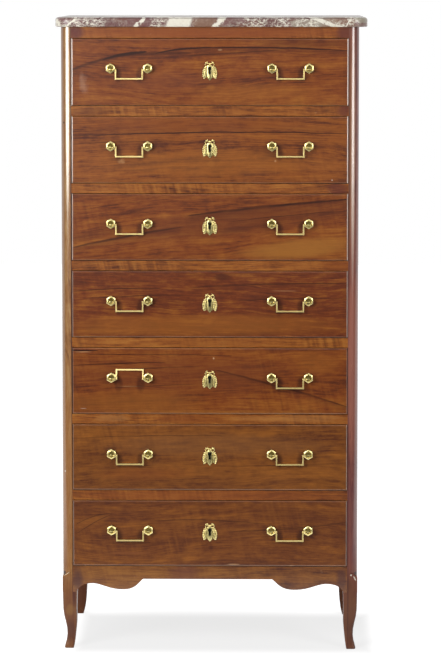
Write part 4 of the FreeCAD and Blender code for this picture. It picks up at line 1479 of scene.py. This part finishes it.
APRON: dict = dict(
    seed=53.0, middle=CASE_MIDDLE, ripple=0.4, base=(0.235, 0.078, 0.014),
    light=(0.33, 0.13, 0.024),
    patches=(
        Patch((-314, 168), (18, 34), (0.07, 0.02, 0.018), 0.75, 0.0, 0.6),
        Patch((312, 168), (16, 34), (0.075, 0.02, 0.016), 0.75, 0.0, 0.6),
        Patch((-66, 182), (46, 22), (0.16, 0.045, 0.022), 0.6, 0.0, 0.8)))


class Carcass:
    """The fixed pieces of the case."""

    @staticmethod
    def build() -> None:
        """Model the slab, the stiles and the apron, and dress the rest."""
        MarbleSlab().build()
        for side, word in ((-1, "left"), (1, "right")):
            FrontStile(side).build(Veneer(f"stile_{word}_wood", **STILES[side]).make())
        rear_wood = Veneer("rear_stile_wood", **REAR_STILES).make()
        for side in (-1, 1):
            RearStile(side).build(rear_wood)
        panel_wood = Veneer("side_panel_wood", Grain.UPRIGHT, seed=42.0, ripple=0.6, gloss=0.25)
        dress_nodes(panel_wood.make(), "side_panels")
        dress_nodes(Veneer("side_rail_wood", Grain.DEEP, seed=43.0, gloss=0.4).make(), "case_rails")
        dress_nodes(Veneer("rail_wood", **RAILS).make(), "drawer_rails")
        Apron().build(Veneer("apron_wood", **APRON).make())
        dress_nodes(PlainWood("back_wood", Grain.UPRIGHT, seed=3.0).make(), "back_boards")
        dress_nodes(PlainWood("runner_wood", Grain.DEEP, seed=5.0).make(), "runners", "drawer_stops")


# ---------------------------------------------------------------------------------------------------
# Brass
# ---------------------------------------------------------------------------------------------------

FACE_ON: Triple = (math.pi / 2, 0.0, 0.0)
SIDEWAYS: Triple = (0.0, math.pi / 2, 0.0)


@dataclass
class BailPost:
    """A hexagonal bail post with a bevelled rim and a hollow, across which its pin shows.

    It is modelled for the left pin of a handle, with the pin's axis through the origin. The slope is
    the bevel's (width, rise), the hollow (width of its wall, depth), the neck (inset, length, share),
    the waist's length follows, and the foot is (length, share). The seat, which carries the pin across
    the hollow, is (left, right, half height, front, back), front and back from the head's face.
    """

    flats: float = 20.5
    thickness: float = 9.0
    above_pin: float = 3.0
    slope: tuple[float, float] = (2.6, 1.3)
    rim: float = 0.6
    hollow: tuple[float, float] = (1.5, 3.4)
    neck: Triple = (3.6, 1.6, 0.62)
    waist: float = 1.4
    foot: tuple[float, float] = (0.9, 1.7)
    seat: tuple[float, float, float, float, float] = (-3.8, 2.9, 1.3, 2.4, 5.0)
    stand: float = 5.0
    shank: float = 5.0
    reach: float = 24.0
    bore: float = 2.05
    bore_sides: int = 16
    bore_depth: float = 7.5
    over: float = 1.0
    arris: float = 0.3

    def build(self) -> bpy.types.Object:
        """Model the post.

        Returns:
            The post.
        """
        piece = self._head()
        half = self.shank / 2 * MM
        left, right, high, front, back = (size * MM for size in self.seat)
        middle, face = self.above_pin * MM, -self.thickness / 2 * MM
        combine(piece, Bench.block("shank", (-half, 0.0, middle - half),
                                   (half, -face + (self.stand + self.reach) * MM, middle + half)).done(),
                "UNION")
        combine(piece, Bench.block("seat", (left, face + front, -high), (right, face + back, high)).done(),
                "UNION")
        start, length = self.flats / 2 + self.over, self.bore_depth + self.over
        combine(piece, Bench.drum("bore", ((start - length / 2) * MM, 0.0, 0.0), self.bore * MM, length * MM,
                                  self.bore_sides, SIDEWAYS).done(), "DIFFERENCE")
        soften(piece, self.arris * MM, 2, TURNED_ARRIS)
        return piece

    def _head(self) -> bpy.types.Object:
        """The hexagon with its rim and hollow, on a turned neck and foot.

        Returns:
            The head on its foot.
        """
        width, rise = self.slope
        inset, length, share = self.neck
        foot_length, foot_share = self.foot
        centre = Vector((0.0, 0.0, self.above_pin)) * MM
        about = (0.0, self.thickness / 2 * MM, centre.z)
        head = Bench.drum("bail_post", centre + Vector((0.0, rise / 2 * MM, 0.0)),
                          self.flats / math.sqrt(3.0) * MM, (self.thickness - rise) * MM, 6, FACE_ON)
        head.pick(Part.FACE, lambda at, way: way.y < -0.95).inset(width * MM, rise * MM)
        head.inset(self.rim * MM).inset(self.hollow[0] * MM, -self.hollow[1] * MM)
        head.pick(Part.FACE, lambda at, way: way.y > 0.95).inset(inset * MM)
        head.extrude((0.0, length * MM, 0.0)).scale((share, 1.0, share), about)
        head.extrude((0.0, self.waist * MM, 0.0))
        head.extrude((0.0, foot_length * MM, 0.0)).scale((foot_share, 1.0, foot_share), about)
        head.extrude((0.0, (self.stand - length - self.waist - foot_length) * MM, 0.0))
        return head.done()


@dataclass
class SquareNut:
    """A square nut with chamfered corners, modelled about the shank's axis at the origin."""

    size: float = 10.0
    thickness: float = 4.0
    rim: float = 1.0
    corner: float = 0.9
    arris: float = 0.35

    def build(self) -> bpy.types.Object:
        """Model the nut.

        Returns:
            The nut.
        """
        half = self.size / 2 * MM
        nut = Bench.block("nut", (-half, 0.0, -half), (half, self.thickness * MM, half))
        nut.pick(Part.FACE, lambda at, way: way.y > 0.9).inset(self.rim * MM)
        nut.pick(Part.EDGE, lambda at, way: abs(way.y) > 0.9).bevel(self.corner * MM, 2)
        piece = nut.done()
        soften(piece, self.arris * MM)
        return piece


@dataclass
class Bail:
    """A bail: a square-cornered loop of rod with a barrel at the top of each arm and two pins.

    The arms stop short of the pins by a share of the rod's thickness and end in a block of another
    share.
    """

    half: float = 32.9
    rod: float = 3.3
    drop: float = 21.5
    arm_stop: float = 1.4
    arm_end: float = 0.6
    below: float = 0.4
    rounding: float = 1.2
    pin_end: float = 40.25
    barrel_radius: float = 2.45
    barrel_sides: int = 20
    barrel_step: float = 1.0
    barrel_over: float = 0.1
    barrel_arris: float = 0.4

    def build(self) -> bpy.types.Object:
        """Model the bail about the axis of its pins.

        Returns:
            The bail.
        """
        half, rod = self.half * MM, self.rod * MM
        low = -self.drop * MM - rod / 2
        loop = Bench.block("bail", (-half, -rod / 2, low), (half, rod / 2, low + rod))
        inner = half - rod
        for edge in (-inner, inner):
            loop.cut_across((edge, 0.0, 0.0), (1.0, 0.0, 0.0))
        loop.pick(Part.FACE, lambda at, way: way.z > 0.9 and abs(at.x) > inner)
        loop.extrude((0.0, 0.0, -low - rod * self.arm_stop)).extrude((0.0, 0.0, rod * self.arm_end))
        loop.pick(Part.FACE, lambda at, way: way.z < -0.9 and abs(at.x) > inner)
        loop.extrude((0.0, 0.0, -self.below * MM))
        piece = loop.done()
        soften(piece, self.rounding * MM, 4)
        for side in (-1, 1):
            combine(piece, self._barrel(side), "UNION")
        smooth(piece)
        return piece

    def _barrel(self, side: int) -> bpy.types.Object:
        """The barrel at the top of one arm, with its pin.

        Args:
            side: -1 for the left arm and 1 for the right.

        Returns:
            The barrel.
        """
        barrel = Bench.drum("barrel", ((self.half - self.rod / 2) * MM * side, 0.0, 0.0),
                            self.barrel_radius * MM, (self.rod + self.barrel_over) * MM,
                            self.barrel_sides, SIDEWAYS)
        barrel.pick(Part.FACE, lambda at, way: way.x * side > 0.95).inset(self.barrel_step * MM)
        barrel.extrude(((self.pin_end - self.half) * side * MM, 0.0, 0.0))
        cap = barrel.done()
        soften(cap, self.barrel_arris * MM)
        return cap


@dataclass
class KeyholePlate:
    """The cast keyhole plate: an oval shield under a ribbon bow, between two hanging sprays.

    The leaves are (x, z, length, width, lean in degrees) for the right half, in millimetres from the
    head of the keyhole, and the beads are (x, z, radius), each pressed to a share of it in height. The
    bow's knot is (place, radii), and the shield (half width, top, tip). Its shoulder is (height, share
    of the width), its straight part ends at a share of the tip's place, and its point narrows in steps
    of (share of the tip's place, share of the width). The slope round its face is (width, rise), and
    the ground is (middle, radius, thickness, stretch). A leaf's ends go on from its middle, (bottom,
    top), in steps of (rise, share of the width, share of the thickness), for a length of about 1.
    """

    leaves: tuple[tuple[float, float, float, float, float], ...] = (
        (8.0, 3.0, 8.0, 4.4, -48.0), (9.7, -2.0, 8.5, 4.6, -34.0), (10.4, -7.4, 8.5, 4.6, -22.0),
        (10.6, -12.2, 8.5, 4.6, -10.0), (10.2, -16.8, 8.6, 4.6, 4.0), (12.6, -18.8, 9.8, 5.2, 8.0))
    beads: tuple[tuple[float, float, float], ...] = (
        (7.8, 13.2, 2.7), (4.0, 11.8, 1.9), (10.2, 9.6, 1.7), (5.4, 15.4, 1.5), (9.2, 5.6, 2.1),
        (11.8, 2.4, 2.3), (13.8, -1.6, 2.4), (15.0, -5.8, 2.4), (15.5, -10.0, 2.4), (15.3, -14.2, 2.4),
        (14.5, -18.3, 2.4), (13.2, -22.0, 2.2))
    bead_out: float = 1.4
    bead_depth: float = 1.7
    bead_share: float = 0.85
    knot: tuple[Triple, Triple] = ((0.0, -1.5, 11.2), (2.6, 2.0, 2.4))
    shield: Triple = (6.4, 9.0, -27.2)
    shield_out: float = 2.8
    shield_arris: float = 0.35
    shoulder: tuple[float, float] = (3.0, 0.55)
    straight: float = 0.55
    point: tuple[tuple[float, float], ...] = ((0.28, 0.66), (0.17, 0.08))
    slope: tuple[float, float] = (1.0, 0.5)
    ground: tuple[float, float, float, float] = (-7.5, 14.4, 1.0, 1.16)
    ground_sides: int = 28
    leaf_out: float = 0.6
    leaf_middle: tuple[float, float] = (-0.12, 0.28)
    leaf_face: float = 2.1
    leaf_back: float = 0.9
    leaf_head: Triple = (0.2, 0.55, 0.7)
    leaf_foot: tuple[Triple, ...] = ((-0.24, 0.8, 0.9), (-0.2, 0.12, 0.5))
    vein: float = 0.4
    key_radius: float = 4.3
    key_slot: float = 4.8
    key_length: float = 17.6
    key_sides: int = 24
    key_reach: float = 6.0

    def build(self) -> bpy.types.Object:
        """Model the plate about the head of the keyhole, with the wood's face at y = 0.

        Returns:
            The plate.
        """
        base = self._base()
        for cutter in self._keyhole():
            combine(base, cutter, "DIFFERENCE")
        lobes = []
        leaf = self._leaf()
        for x, z, length, width, lean in self.leaves:
            for side in (-1, 1):
                change = (Matrix.Translation(Vector((x * side, -self.leaf_out, z)) * MM)
                          @ Matrix.Rotation(math.radians(lean * side), 4, "Y")
                          @ Matrix.Diagonal((width * MM, 1.0, length * MM, 1.0)))
                lobes.append(copy_of(leaf, "lobe", change))
        bpy.data.objects.remove(leaf, do_unlink=True)
        for x, z, radius in self.beads:
            for side in (-1, 1):
                radii = (radius * MM, self.bead_depth * MM, radius * self.bead_share * MM)
                lobes.append(Bench.ball("bead", Vector((x * side, -self.bead_out, z)) * MM, radii).done())
        lobes.append(Bench.ball("knot", Vector(self.knot[0]) * MM, Vector(self.knot[1]) * MM).done())
        piece = join("keyhole_plate", [base, *lobes])
        smooth(piece, FLAT_ARRIS)
        return piece

    def _base(self) -> bpy.types.Object:
        """The shield with its sloping edge, on a thin ground that carries the sprays.

        Returns:
            The shield on its ground.
        """
        half, top, tip = (size * MM for size in self.shield)
        high, share = self.shoulder
        shield = Bench.block("shield", (-half, -self.shield_out * MM, tip * self.straight),
                             (half, 0.0, top - high * MM))
        shield.pick(Part.FACE, lambda at, way: way.z > 0.9)
        shield.extrude((0.0, 0.0, high * MM)).scale((share, 1.0, 1.0), (0.0, 0.0, top))
        shield.pick(Part.FACE, lambda at, way: way.z < -0.9)
        for length, share in self.point:
            shield.extrude((0.0, 0.0, tip * length)).scale((share, 1.0, 1.0), (0.0, 0.0, 0.0))
        width, rise = self.slope
        shield.pick(Part.FACE, lambda at, way: way.y < -0.95).inset(width * MM, rise * MM)
        piece = shield.done()
        soften(piece, self.shield_arris * MM, 2)
        middle, radius, thickness, stretch = self.ground
        ground = Bench.drum("ground", (0.0, -thickness / 2 * MM, middle * MM), radius * MM, thickness * MM,
                            self.ground_sides, FACE_ON)
        ground.pick(Part.FACE, lambda at, way: True).scale((1.0, 1.0, stretch), (0.0, 0.0, middle * MM))
        combine(piece, ground.done(), "UNION")
        return piece

    def _keyhole(self) -> list[bpy.types.Object]:
        """The cutters for the keyhole: a round head over a slot.

        Returns:
            The two cutters.
        """
        foot = (self.key_radius - self.key_length) * MM
        half, reach = self.key_slot / 2 * MM, self.key_reach * MM
        head = Bench.drum("head", (0.0, 0.0, 0.0), self.key_radius * MM, 2 * reach, self.key_sides, FACE_ON)
        return [head.done(), Bench.block("slot", (-half, -reach, foot), (half, reach, 0.0)).done()]

    def _leaf(self) -> bpy.types.Object:
        """One leaf of unit length and width, pointed at its foot, with a vein down its middle.

        Returns:
            The leaf.
        """
        bottom, top = self.leaf_middle
        leaf = Bench.block("leaf", (-0.5, -self.leaf_face * MM, bottom), (0.5, self.leaf_back * MM, top))
        leaf.pick(Part.FACE, lambda at, way: way.z > 0.9)
        rise, wide, thick = self.leaf_head
        leaf.extrude((0.0, 0.0, rise)).scale((wide, thick, 1.0), (0.0, 0.0, 0.0))
        leaf.pick(Part.FACE, lambda at, way: way.z < -0.9)
        for rise, wide, thick in self.leaf_foot:
            leaf.extrude((0.0, 0.0, rise)).scale((wide, thick, 1.0), (0.0, 0.0, 0.0))
        leaf.cut_across((0.0, 0.0, 0.0), (1.0, 0.0, 0.0))
        leaf.pick(Part.VERT, lambda at, way: abs(at.x) < 0.01 and at.y < -0.5 * MM)
        leaf.move((0.0, self.vein * MM, 0.0))
        piece = leaf.done()
        apply_modifier(piece, "SUBSURF", levels=2, render_levels=2)
        return piece


@dataclass
class Brasses:
    """Every bail, post, nut and keyhole plate, copied from one of each.

    The pins' and the keyhole's heights are in millimetres above the middle of a drawer front. The
    flipped bail hangs from its pins as thrown up, leaning back on the drawer by the lean in degrees.
    Tarnish gathers between two depths, in millimetres behind the mounts' face or, for the plates, behind
    the wood's.
    """

    flipped: tuple[str, int] = ("left", 5)
    lean: float = 17.0
    post_spacing: float = 87.0
    pin_height: float = 6.0
    key_height: float = 8.4
    post_tarnish: tuple[float, float] = (2.5, 3.3)
    bail_tarnish: tuple[float, float] = (40.0, 60.0)
    plate_tarnish: tuple[float, float] = (-1.8, -0.7)

    def build(self) -> None:
        """Model one of each and set the copies in their places."""
        self.post = BailPost()
        self.patterns = {"post": self.post.build(), "nut": SquareNut().build(), "bail": Bail().build(),
                         "plate": KeyholePlate().build()}
        self.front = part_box("brass_mounts_1")[0].y
        low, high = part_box("drawer_front_1")
        self.wood, self.nut_face = low.y, high.y
        posts, bails, plates = (
            [face + deep * MM for deep in depths]
            for face, depths in ((self.front, self.post_tarnish), (self.front, self.bail_tarnish),
                                 (self.wood, self.plate_tarnish)))
        self.finishes = {
            "post": CastBrass("post_brass", *posts, 0.38).make(),
            "bail": CastBrass("bail_brass", *bails, 0.48, 5.0, (0.95, 0.76, 0.32)).make(),
            "plate": CastBrass("plate_brass", *plates, 0.34, 9.0).make(),
        }
        for number in range(1, DRAWERS + 1):
            self._fit_drawer(number)
        for pattern in self.patterns.values():
            bpy.data.objects.remove(pattern, do_unlink=True)

    def _fit_drawer(self, number: int) -> None:
        """Set one drawer's brasses.

        Args:
            number: The drawer, counted from the top.
        """
        body, node = f"drawer_{number}", f"brass_mounts_{number}"
        low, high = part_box(f"drawer_front_{number}")
        level = (low.z + high.z) / 2
        for side in ("left", "right"):
            bail = f"bail_{side}_{number}"
            bail_low, bail_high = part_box(bail)
            middle, pin_z = (bail_low.x + bail_high.x) / 2, level + self.pin_height * MM
            pin = Matrix.Translation((middle, self.front + self.post.thickness / 2 * MM, pin_z))
            thrown = (side, number) == self.flipped
            turn = Matrix.Rotation(-math.radians(self.lean + 180.0) if thrown else 0.0, 4, "X")
            self._set("bail", f"{bail}_brass", bail, bail, "bail", pin @ turn)
            for end, word in zip((-1, 1), ("outer", "inner") if side == "left" else ("inner", "outer")):
                reach = self.post_spacing / 2 * MM * end
                mirror = Matrix.Diagonal((-end, 1.0, 1.0, 1.0))
                place = Matrix.Translation((reach, 0.0, 0.0)) @ pin
                self._set("post", f"post_{side}_{word}_{number}", body, node, "post", place @ mirror)
                seat = Matrix.Translation((middle + reach, self.nut_face, pin_z + self.post.above_pin * MM))
                self._set("nut", f"nut_{side}_{word}_{number}", body, node, "bail", seat)
        key = ((low.x + high.x) / 2, self.wood, level + self.key_height * MM)
        self._set("plate", f"keyhole_plate_{number}", body, node, "plate", Matrix.Translation(key))

    def _set(self, pattern: str, name: str, body: str, node: str, finish: str, place: Matrix) -> None:
        """Copy a pattern to its place and seat it on its body in place of a node."""
        fit(copy_of(self.patterns[pattern], name, place), body, node, self.finishes[finish])


# ---------------------------------------------------------------------------------------------------
# Drawers
# ---------------------------------------------------------------------------------------------------

# The glints, partly painted highlights, fade down the chest as reflections of the high lamps would.
FRONTS: dict[int, dict] = {
    1: dict(
        seed=11.0, glints=(1.0, 1.0, 0.12, 0.25), ripple=0.15,
        streaks=(
            Streak((-340, -2), (-232, 34), 3, 6.0, 0.6, 0.45, 22),
            Streak((-252, 28), (-146, 48), 3, 5.6, 1.3, 0.45, 14),
            Streak((-210, 38), (-40, 44), 3, 6.0, 0.5, 0.4, 16),
            Streak((-130, 44), (6, 58), 3, 3.4, 1.2, 0.4),
            Streak((-40, 56), (350, 48), 5, 2.8, 1.0, 0.55),
            Streak((-60, 38), (170, 52), 0, 2.6, 0.6, 0.3, 10)),
        patches=(
            Patch((230, 66), (140, 14), PURPLE_BROWN, 0.45),
            Patch((-60, 66), (170, 14), RED_BROWN, 0.5),
            Patch((-294, -26), (13, 27), (0.42, 0.25, 0.17), 0.34, 0.0, 1.9),
            Patch((24, 52), (6, 3), PALE_WOOD, 0.55), Patch((2, -37), (13, 8), GOLDEN, 0.6),
            Patch((-120, -20), (160, 30), (0.20, 0.055, 0.02), 0.3),
            Patch((100, -45), (180, 22), GOLDEN, 0.35))),
    2: dict(
        seed=12.5, base=(0.250, 0.067, 0.009), glints=(0.7, 1.0, 0.12, 0.20), ripple=0.35,
        streaks=(
            Streak((-340, 32), (340, 38), 6, 2.2, 1.1, -0.25, 24),
            Streak((-330, 12), (-60, 20), 3, 3.0, 0.45)),
        patches=(
            Patch((-60, 60), (300, 20), RED_BROWN, 0.45), Patch((0, -30), (310, 36), GOLDEN, 0.38),
            Patch((2, -33), (12, 9), GOLDEN, 0.7),
            Patch((-207, -27), (12, 7), (0.50, 0.28, 0.12), 0.40, 0.0, 1.9),
            Patch((154, -26), (3, 3), PALE_WOOD, 0.5), Patch((287, -71), (2, 2), CREAM, 0.7),
            Patch((155, -48), (2, 12), GOLDEN, 0.5))),
    3: dict(
        seed=23.0, glints=(0.5, 0.7, 0.12, 0.15), ripple=0.4, tilt=-5.0,
        streaks=(
            Streak((-330, -50), (-60, 1), 3, 5.0, 0.7, 0.45, 22),
            Streak((-60, 26), (345, 67), 3, 5.4, 0.8, 0.6, 26),
            Streak((40, 12), (330, 40), 2, 1.6, 0.6, 0.3),
            Streak((-300, 40), (-150, 62), 2, 1.6, 0.5),
            Streak((-59, -60), (-58, -70), 0, 2.0, 0.9)),
        patches=(
            Patch((205, -50), (150, 28), (0.34, 0.13, 0.02), 0.8, 0.1),
            Patch((40, 8), (330, 36), (0.14, 0.033, 0.008), 0.6, 0.1),
            Patch((-2, -33), (36, 9), GOLDEN, 0.55),
            Patch((-280, -20), (60, 14), PURPLE_BROWN, 0.4, 0.2),
            Patch((60, -6), (50, 9), PURPLE_BROWN, 0.45, 0.1),
            Patch((-190, -6), (22, 12), GOLDEN, 0.35, 0.0, 1.6))),
    4: dict(
        seed=31.0, glints=(0.25, 0.5, 0.08, 0.15), ripple=0.2, base=(0.165, 0.034, 0.0075),
        streaks=(
            Streak((-335, 30), (-110, 38), 2, 2.6, 0.6),
            Streak((-310, 12), (-50, 22), 2, 2.6, 0.5),
            Streak((-50, 40), (325, 50), 3, 3.0, 0.6, 0.3), Streak((50, 8), (340, 14), 2, 2.6, 0.5)),
        patches=(
            Patch((28, 65), (26, 10), PURPLE_BROWN, 0.8),
            Patch((0, -52), (400, 34), GOLDEN, 0.55, 0.0, 0.6),
            Patch((-4, -41), (14, 9), GOLDEN, 0.55),
            Patch((176, 32), (36, 1.0), PALE_WOOD, 0.35, 0.0, 0.4),
            Patch((-110, 2), (90, 20), PURPLE_BROWN, 0.3), Patch((-260, -64), (70, 9), GOLDEN, 0.4))),
    5: dict(
        seed=41.0, glints=(0.08, 0.12, 0.06, 0.45), ripple=0.55,
        streaks=(
            Streak((-345, 73), (-262, 71.5), 0, 2.6, 1.6),
            Streak((-330, 36), (-100, 43), 2, 2.4, 0.8), Streak((-300, 62), (60, 60), 2, 2.2, 0.6),
            Streak((-240, 24), (-20, 34), 2, 2.6, 0.5),
            Streak((5, 28), (340, -66), 4, 4.6, 0.6, 0.45, 20),
            Streak((-265, -20), (-30, -8), 2, 2.2, 0.4)),
        patches=(
            Patch((-300, 68.6), (26, 1.2), PALE_WOOD, 0.6, 0.0, 0.3),
            Patch((250, 45), (66, 34), GOLDEN, 0.35),
            Patch((-186, -13), (38, 1.2), (0.48, 0.25, 0.10), 0.85, 0.0, 0.3),
            Patch((-299, -66), (9, 1.2), CREAM, 0.4),
            Patch((9, 54), (2.4, 3.0), (0.72, 0.48, 0.26), 0.8, 0.0, 0.4),
            Patch((-60, 10), (330, 56), (0.165, 0.040, 0.010), 0.5),
            Patch((-190, -50), (200, 34), (0.26, 0.085, 0.012), 0.55, 0.0, 0.7),
            Patch((0, -74), (340, 6), GOLDEN, 0.6, 0.0, 0.6))),
    6: dict(
        seed=52.0, glints=(0.10, 0.28, 0.08, 0.30), ripple=0.5, contrast=0.95, lined=0.3,
        base=(0.205, 0.064, 0.010),
        streaks=(
            Streak((-320, 45), (60, 52), 3, 2.2, 0.45), Streak((10, -20), (340, -12), -3, 2.2, 0.4)),
        patches=(
            Patch((0, 30), (320, 34), (0.25, 0.10, 0.03), 0.4),
            Patch((295, -56), (18, 5), PURPLE_BROWN, 0.6), Patch((135, 56), (30, 9), GOLDEN, 0.5),
            Patch((-150, -40), (130, 18), RED_BROWN, 0.4))),
    7: dict(
        seed=66.0, glints=(0.16, 0.22, 0.08, 0.35), ripple=0.55, contrast=0.95, lined=0.25,
        base=(0.175, 0.049, 0.009),
        streaks=(
            Streak((-320, 18), (-230, 47), 8, 2.4, 0.55),
            Streak((-318, -2), (-232, 44), 4, 2.2, 0.5),
            Streak((-140, 30), (140, 22), 6, 2.8, 0.45, 0.3),
            Streak((40, 5), (340, 30), -5, 3.2, 0.45, 0.35)),
        patches=(
            Patch((-274, 32), (36, 12), GOLDEN, 0.45, 0.2),
            Patch((2, -34), (7, 6), PURPLE_BROWN, 0.75, 0.0, 0.5),
            Patch((-190, -48), (62, 4), (0.34, 0.11, 0.025), 0.3),
            Patch((55, -74), (18, 2.0), PALE_WOOD, 0.55),
            Patch((193, -77), (9, 1.5), PALE_WOOD, 0.6),
            Patch((200, 44), (120, 18), PURPLE_BROWN, 0.35))),
}


@dataclass
class Drawers:
    """The seven drawers with their locks."""

    raw_behind_face: float = 12.0

    def build(self) -> None:
        """Dress every drawer and set its brasses."""
        box_wood = PlainWood("drawer_wood", Grain.DEEP, seed=7.0).make()
        iron = BluedIron().make()
        for number in range(1, DRAWERS + 1):
            node = f"drawer_front_{number}"
            low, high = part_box(node)
            middle, half = (low + high) / 2, (high - low) / 2
            wood = Veneer(f"front_{number}_wood", middle=tuple(middle), half=(half.x, half.z),
                          raw_from=low.y + self.raw_behind_face * MM, handled=True, **FRONTS[number])
            dress_nodes(wood.make(), node)
            dress_nodes(box_wood, f"drawer_box_{number}")
            dress_nodes(iron, f"lock_case_{number}", f"lock_bolt_{number}")
        Brasses().build()


# ---------------------------------------------------------------------------------------------------
# Room
# ---------------------------------------------------------------------------------------------------


@dataclass
class SoftBox:
    """One soft rectangular lamp, aimed at the case."""

    name: str
    place: Triple
    size: tuple[float, float]
    power: float
    aim: Triple = (0.0, -0.2, 1.05)

    def build(self) -> None:
        """Hang the lamp."""
        data = bpy.data.lights.new(self.name, "AREA")
        data.shape = "RECTANGLE"
        data.size, data.size_y = self.size
        data.energy = self.power
        lamp = bpy.data.objects.new(self.name, data)
        bpy.context.scene.collection.objects.link(lamp)
        lamp.location = self.place
        lamp.visible_camera = False
        lamp.rotation_euler = (Vector(self.aim) - Vector(self.place)).to_track_quat("-Z", "Y").to_euler()


@dataclass
class Studio:
    """Pale floor, soft lamps and the camera.

    The shadow's fades are distances from its middle, in metres, at which the floor begins to turn
    white and is white. Before the case it is dark to all but the camera, over the front fade, so that
    it throws little light up, and gloss sees it white from the mirror fade on.
    """

    eye_height: float = 1.58
    eye_distance: float = 6.62
    eye_right: float = 0.1304
    pitch: float = 4.615
    yaw: float = 0.975
    focal_pixels: float = 2826.3
    long_side_pixels: float = 670.0
    sensor: float = 36.0
    shift: tuple[float, float] = (0.0047, -0.185)
    floor_reach: float = 9.0
    floor_tone: float = 0.5
    shadow_glow: float = 0.76
    shadow_middle: tuple[float, float] = (0.030, -0.025)
    shadow_fades: tuple[tuple[float, float], ...] = ((0.33, 0.40), (0.15, 0.32))
    shadow_tone: float = 0.175
    front_tone: float = 0.08
    front_fade: tuple[float, float] = (-0.5, -1.1)
    mirror_fade: tuple[float, float] = (-1.1, -0.4)
    horizon: tuple[float, float] = (-0.2, 0.3)
    air_before: float = 0.12
    air_behind: float = 0.6
    lamps: tuple[SoftBox, ...] = (
        SoftBox("lamp_left", (-1.57, -2.28, 1.62), (1.5, 1.4), 59.0),
        SoftBox("lamp_right", (1.80, -2.02, 1.62), (1.0, 1.4), 31.0),
        SoftBox("lamp_over", (0.3, -2.4, 3.4), (2.4, 1.2), 12.0, (0.0, -0.2, 0.8)),
    )

    def build(self) -> None:
        """Set up the camera, the floor, the backdrop and the lamps."""
        self._set_camera()
        self._lay_floor()
        self._fill_air()
        for lamp in self.lamps:
            lamp.build()
        bpy.context.scene.view_settings.view_transform = "Standard"
        log.info("studio ready")

    def _set_camera(self) -> None:
        """Put the camera where the front is seen nearly square on, a little from the right."""
        data = bpy.data.cameras.new("camera")
        data.sensor_width = self.sensor
        data.lens = self.focal_pixels / self.long_side_pixels * self.sensor
        data.shift_x, data.shift_y = self.shift
        camera = bpy.data.objects.new("camera", data)
        bpy.context.scene.collection.objects.link(camera)
        left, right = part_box("front_stile_left")[0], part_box("front_stile_right")[1]
        camera.location = ((left.x + right.x) / 2 + self.eye_right, left.y - self.eye_distance,
                           self.eye_height)
        camera.rotation_euler = (math.radians(90.0 - self.pitch), 0.0, math.radians(self.yaw))
        bpy.context.scene.camera = camera

    def _lay_floor(self) -> None:
        """Lay a pale floor that looks white but for the shadow, which is partly cast and partly painted into
        its glow.
        """
        deselect()
        bpy.ops.mesh.primitive_plane_add(size=self.floor_reach * 2)
        floor = bpy.context.object
        floor.name = "floor"
        g = Graph(bpy.data.materials.new("pale_floor"))
        away = reduce(Value.at_least, (
            abs(place - middle).rise(*fade)
            for place, middle, fade in zip((g.x, g.y), self.shadow_middle, self.shadow_fades)))
        # The glow is dimmed under the case: a painted shadow over the cast one.
        glow = g.mix(away, (self.shadow_glow,) * 3, (1.0, 1.0, 1.0))
        tone = g.mix(away, (self.shadow_tone,) * 3, (self.floor_tone,) * 3)
        tone = g.mix(g.y.rise(*self.front_fade), tone, (self.front_tone,) * 3)
        lit = g.add("ShaderNodeBsdfDiffuse", {}, {"Color": tone})
        glowing = g.add("ShaderNodeEmission", {}, {"Color": glow, "Strength": 1.0})
        both = g.add("ShaderNodeAddShader", {}, {0: lit.outputs[0], 1: glowing.outputs[0]})
        camera, mirrored = self._rays(g)
        seen = camera.at_least(mirrored * g.y.rise(*self.mirror_fade))
        mixed = g.add("ShaderNodeMixShader", {}, {0: seen, 1: lit.outputs[0], 2: both.outputs[0]})
        g.add("ShaderNodeOutputMaterial", {}, {"Surface": mixed.outputs[0]})
        dress(floor, g.owner)

    @staticmethod
    def _rays(g: Graph) -> tuple[Value, Value]:
        """Whether a ray comes from the camera, and whether it comes from a mirror or through glass.

        Args:
            g: The graph of the floor or of the air.

        Returns:
            Both, as shares.
        """
        rays = g.add("ShaderNodeLightPath", {}, {})
        glossy = Value(g, rays.outputs["Is Glossy Ray"])
        return (Value(g, rays.outputs["Is Camera Ray"]),
                glossy.at_least(Value(g, rays.outputs["Is Transmission Ray"])))

    def _fill_air(self) -> None:
        """Light softly from all round, with a white backdrop and a dim room before it."""
        bpy.context.scene.world = bpy.data.worlds.new("studio_air")
        g = Graph(bpy.context.scene.world, "Generated")
        behind = g.y.rise(*self.horizon)
        camera, mirrored = self._rays(g)
        soft = behind * (self.air_behind - self.air_before) + self.air_before
        strength = soft.at_least(camera).at_least(mirrored * behind)
        air = g.add("ShaderNodeBackground", {}, {"Color": (1.0, 1.0, 1.0, 1.0), "Strength": strength})
        g.add("ShaderNodeOutputWorld", {}, {"Surface": air.outputs[0]})


def main() -> None:
    """Build the whole scene in order."""
    Studio().build()
    Carcass().build()
    Drawers().build()


if __name__ == "__main__":
    main()
